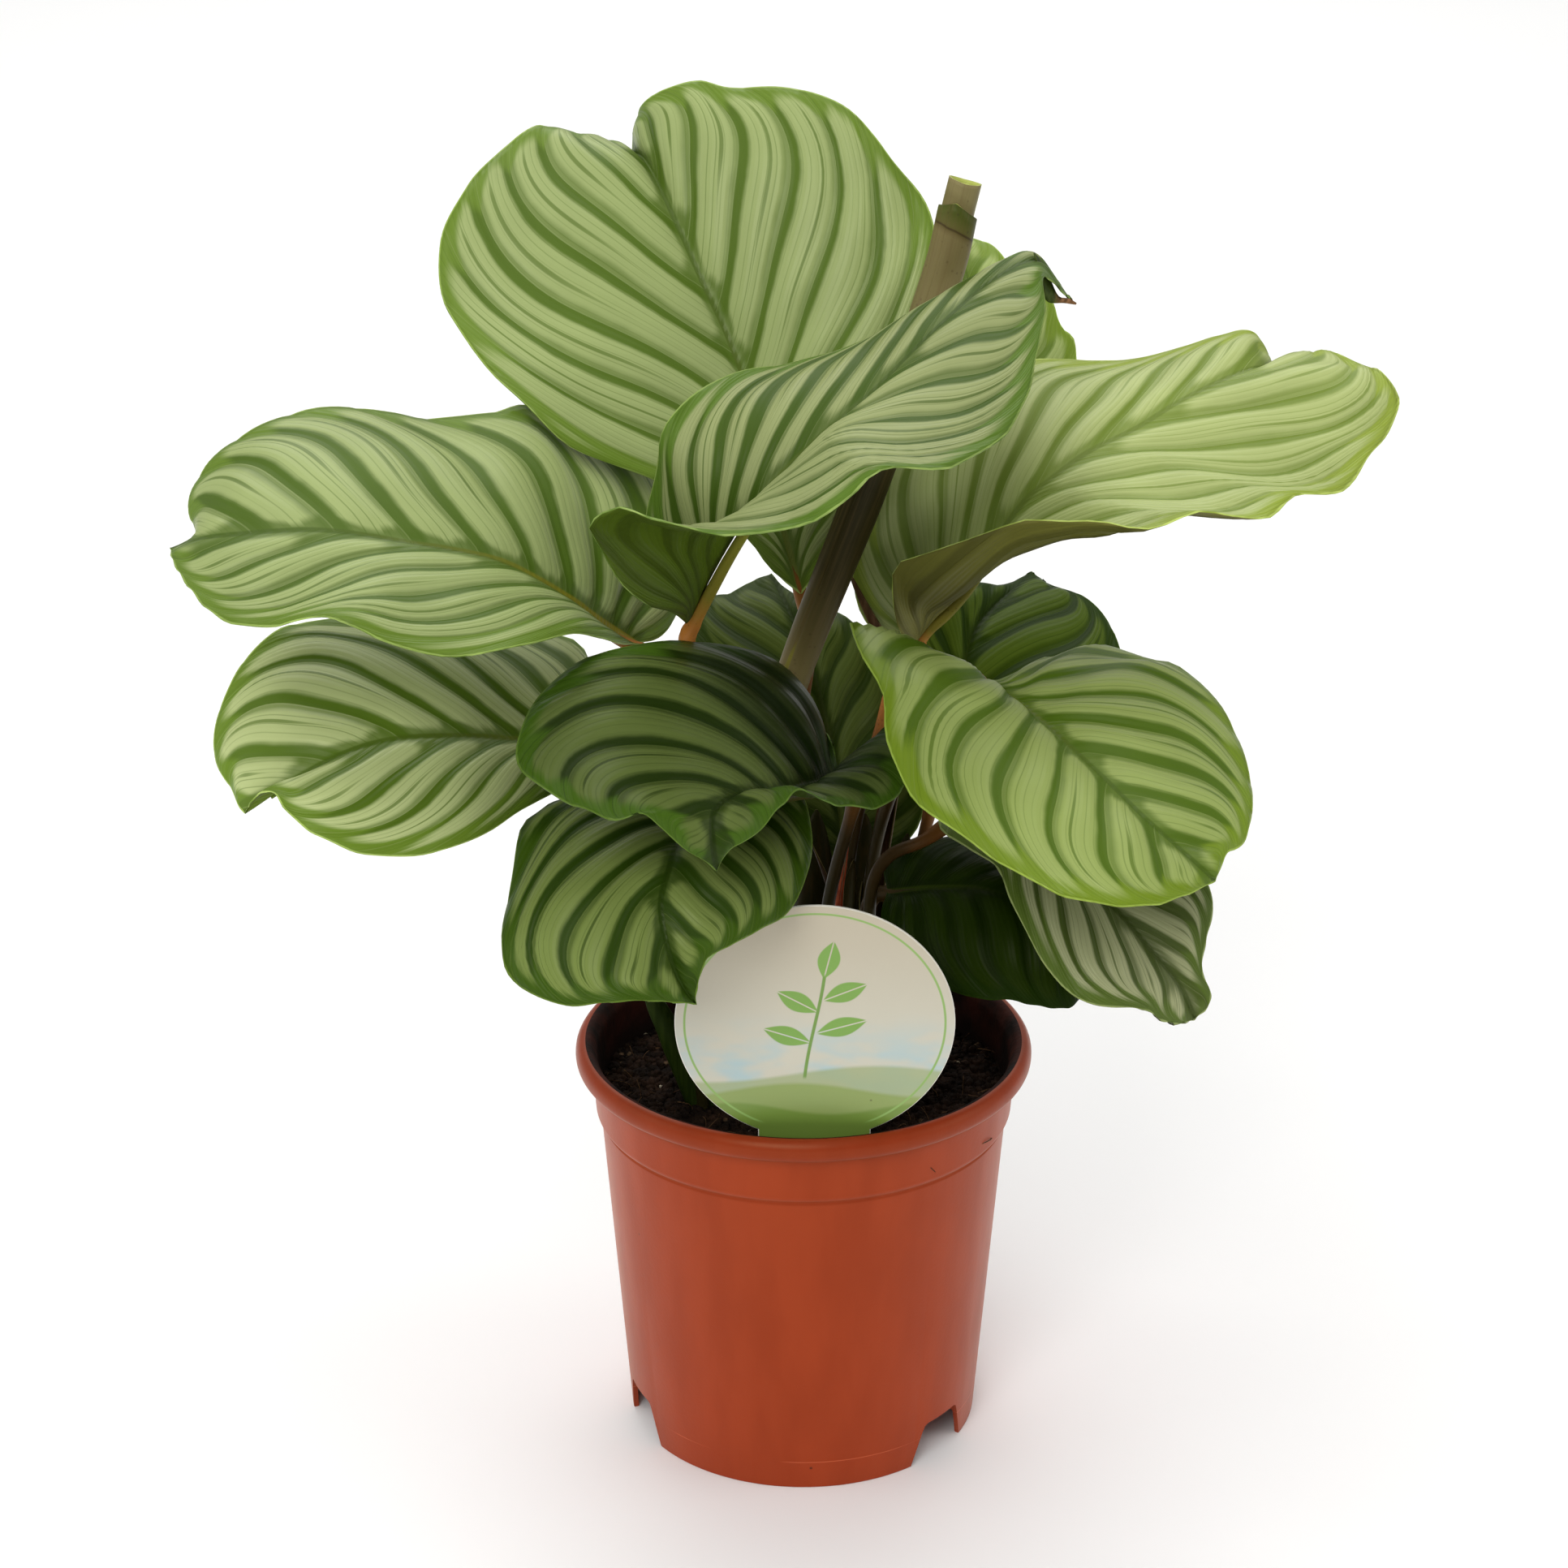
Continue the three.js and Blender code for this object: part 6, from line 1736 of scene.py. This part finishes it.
# %% A printed leaf
LEAF_SHAPE, nodes, given, out = new_group(
    "printed leaf", {"Across": 0.0, "Up": 0.0, "Place across": 0.0, "Place up": 0.0, "Turn": 0.0,
                     "Length": 0.3, "Width": 0.1}, ["Mask"])
math_ = nodes.math
x = math_("SUBTRACT", given["Across"], given["Place across"])
y = math_("SUBTRACT", given["Up"], given["Place up"])
cosine, sine = math_("COSINE", given["Turn"]), math_("SINE", given["Turn"])
lengthwise = math_("ADD", math_("MULTIPLY", x, cosine), math_("MULTIPLY", y, sine))
sideways = math_("ABSOLUTE", math_("SUBTRACT", math_("MULTIPLY", y, cosine), math_("MULTIPLY", x, sine)))
share = math_("MAXIMUM", math_("MINIMUM", math_("DIVIDE", lengthwise, given["Length"]), 1.0), 0.0)
belly = math_("MULTIPLY", math_("SINE", math_("MULTIPLY", share, math.pi)), given["Width"])
inside = nodes.fade(math_("SUBTRACT", belly, sideways), 0.0, 0.012)
vein_gap = nodes.fade(sideways, 0.002, 0.008)
nodes.put(out.inputs["Mask"], math_("MULTIPLY", inside, vein_gap))
print("nodes in the printed leaf:", len(LEAF_SHAPE.nodes))

# %% Paper, sky and hills
LABEL_FRONT, nodes, shader = new_material("label_front", roughness=0.32)
across, up = nodes.uv("print")
math_ = nodes.math
from_centre = math_("SQRT", math_("ADD", math_("MULTIPLY", across, across), math_("MULTIPLY", up, up)))
paper = nodes.mix(nodes.fade(up, 1.0, -0.3), srgb(192, 182, 160), srgb(204, 200, 182))
flattened = nodes.add("ShaderNodeCombineXYZ", {0: across, 1: math_("MULTIPLY", up, 2.2)}).outputs[0]
haze = nodes.noise(flattened, 2.2)
sky = math_("MULTIPLY", nodes.fade(up, 0.15, -0.45), nodes.fade(haze, 0.35, 0.65))
print_colour = nodes.mix(math_("MULTIPLY", sky, 0.75), paper, srgb(158, 196, 206))
HILLS = [(-0.42, 0.07, 2.6, 0.4, (160, 172, 124)), (-0.56, 0.06, 3.4, 2.0, (138, 158, 80)),
         (-0.72, 0.05, 4.4, 4.2, (112, 142, 54))]
for level, swell, waves, start, tone in HILLS:
    crest = math_("MULTIPLY_ADD", math_("SINE", math_("MULTIPLY_ADD", across, waves, start)), swell, level)
    hill = nodes.fade(math_("SUBTRACT", crest, up), -0.012, 0.03)
    print_colour = nodes.mix(math_("MULTIPLY", hill, 0.85), print_colour, srgb(*tone))
print("hills:", len(HILLS))

# %% Sprig, ring and dirt
bend = math_("MULTIPLY", math_("SINE", math_("MULTIPLY", up, 2.4)), 0.08)
stem_line = math_("SUBTRACT", across, bend)
stem_mask = math_("MULTIPLY", nodes.fade(math_("ABSOLUTE", stem_line), 0.016, 0.008),
                  math_("MULTIPLY", nodes.fade(up, 0.44, 0.40), nodes.fade(up, -0.48, -0.44)))
print_colour = nodes.mix(stem_mask, print_colour, srgb(112, 148, 66))
# The place across and up, the turn and the length of each leaf
SPRIG = [(0.06, 0.38, 1.35, 0.34), (0.05, 0.20, 0.42, 0.36), (0.03, 0.10, 2.60, 0.36),
         (0.0, -0.08, 0.30, 0.40), (-0.02, -0.16, 2.80, 0.38)]
for place_across, place_up, turn, length in SPRIG:
    leaf_mask = nodes.group(LEAF_SHAPE, Across=across, Up=up, Place_across=place_across, Place_up=place_up,
                            Turn=turn, Length=length, Width=0.085)["Mask"]
    print_colour = nodes.mix(leaf_mask, print_colour, srgb(122, 164, 72))
ring = nodes.fade(math_("ABSOLUTE", math_("SUBTRACT", from_centre, 0.93)), 0.012, 0.004)
ring = math_("MULTIPLY", ring, nodes.fade(up, -0.86, -0.82))
print_colour = nodes.mix(ring, print_colour, srgb(142, 178, 96))
dirt = nodes.group(SPECKS, Scale=260.0, Size=0.16, Share=0.05)["Mask"]
print_colour = nodes.mix(math_("MULTIPLY", dirt, nodes.fade(up, 0.2, -0.9)), print_colour, srgb(60, 44, 32))
nodes.put(shader.inputs["Base Color"], print_colour)
add_bump(nodes, shader, nodes.noise(nodes.place(), 500.0), 0.05, 0.0002)
print("leaves on the sprig:", len(SPRIG))

# %% Label back and label
LABEL_BACK, nodes, shader = new_material("label_back", roughness=0.4)
dirt = nodes.group(SPECKS, Scale=260.0, Size=0.16, Share=0.05)["Mask"]
nodes.put(shader.inputs["Base Color"], nodes.mix(dirt, srgb(228, 224, 212), srgb(70, 54, 40)))
add_bump(nodes, shader, nodes.noise(nodes.place(), 500.0), 0.05, 0.0002)

label = make_label([LABEL_BACK, LABEL_FRONT])
hand_in(label, "label", "plant_label")
print("label triangles:", triangles(label))

# %% [markdown]
# ## The floor
# The plant stands on a plain pale floor that is wide enough to fill the picture. It is marked as
# stage, so that it isn't taken for a part of the plant.

# %% Floor
floor_corners = [(-9, -9, 0), (9, -9, 0), (9, 12, 0), (-9, 12, 0)]
floor = make_object("floor", floor_corners, [[0, 1, 2, 3]], smooth=False)
FLOOR, nodes, shader = new_material("floor", roughness=0.8)
shader.inputs["Base Color"].default_value = (0.95, 0.95, 0.945, 1)
floor.data.materials.append(FLOOR)
floor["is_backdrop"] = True
print("floor in metres:", [round(side) for side in floor.dimensions[:2]])

# %% [markdown]
# ## Sizes
# The dressed plant must be as large as its solids. Both boxes are printed one after the other.

# %% Both boxes
sizes = {"frame": [list(map(float, corner)) for corner in frame_bounds],
         "visual": [list(map(float, corner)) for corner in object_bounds()]}
for label_text, (low, high) in sizes.items():
    print(label_text, "box:", [round(v, 4) for v in low], [round(v, 4) for v in high])
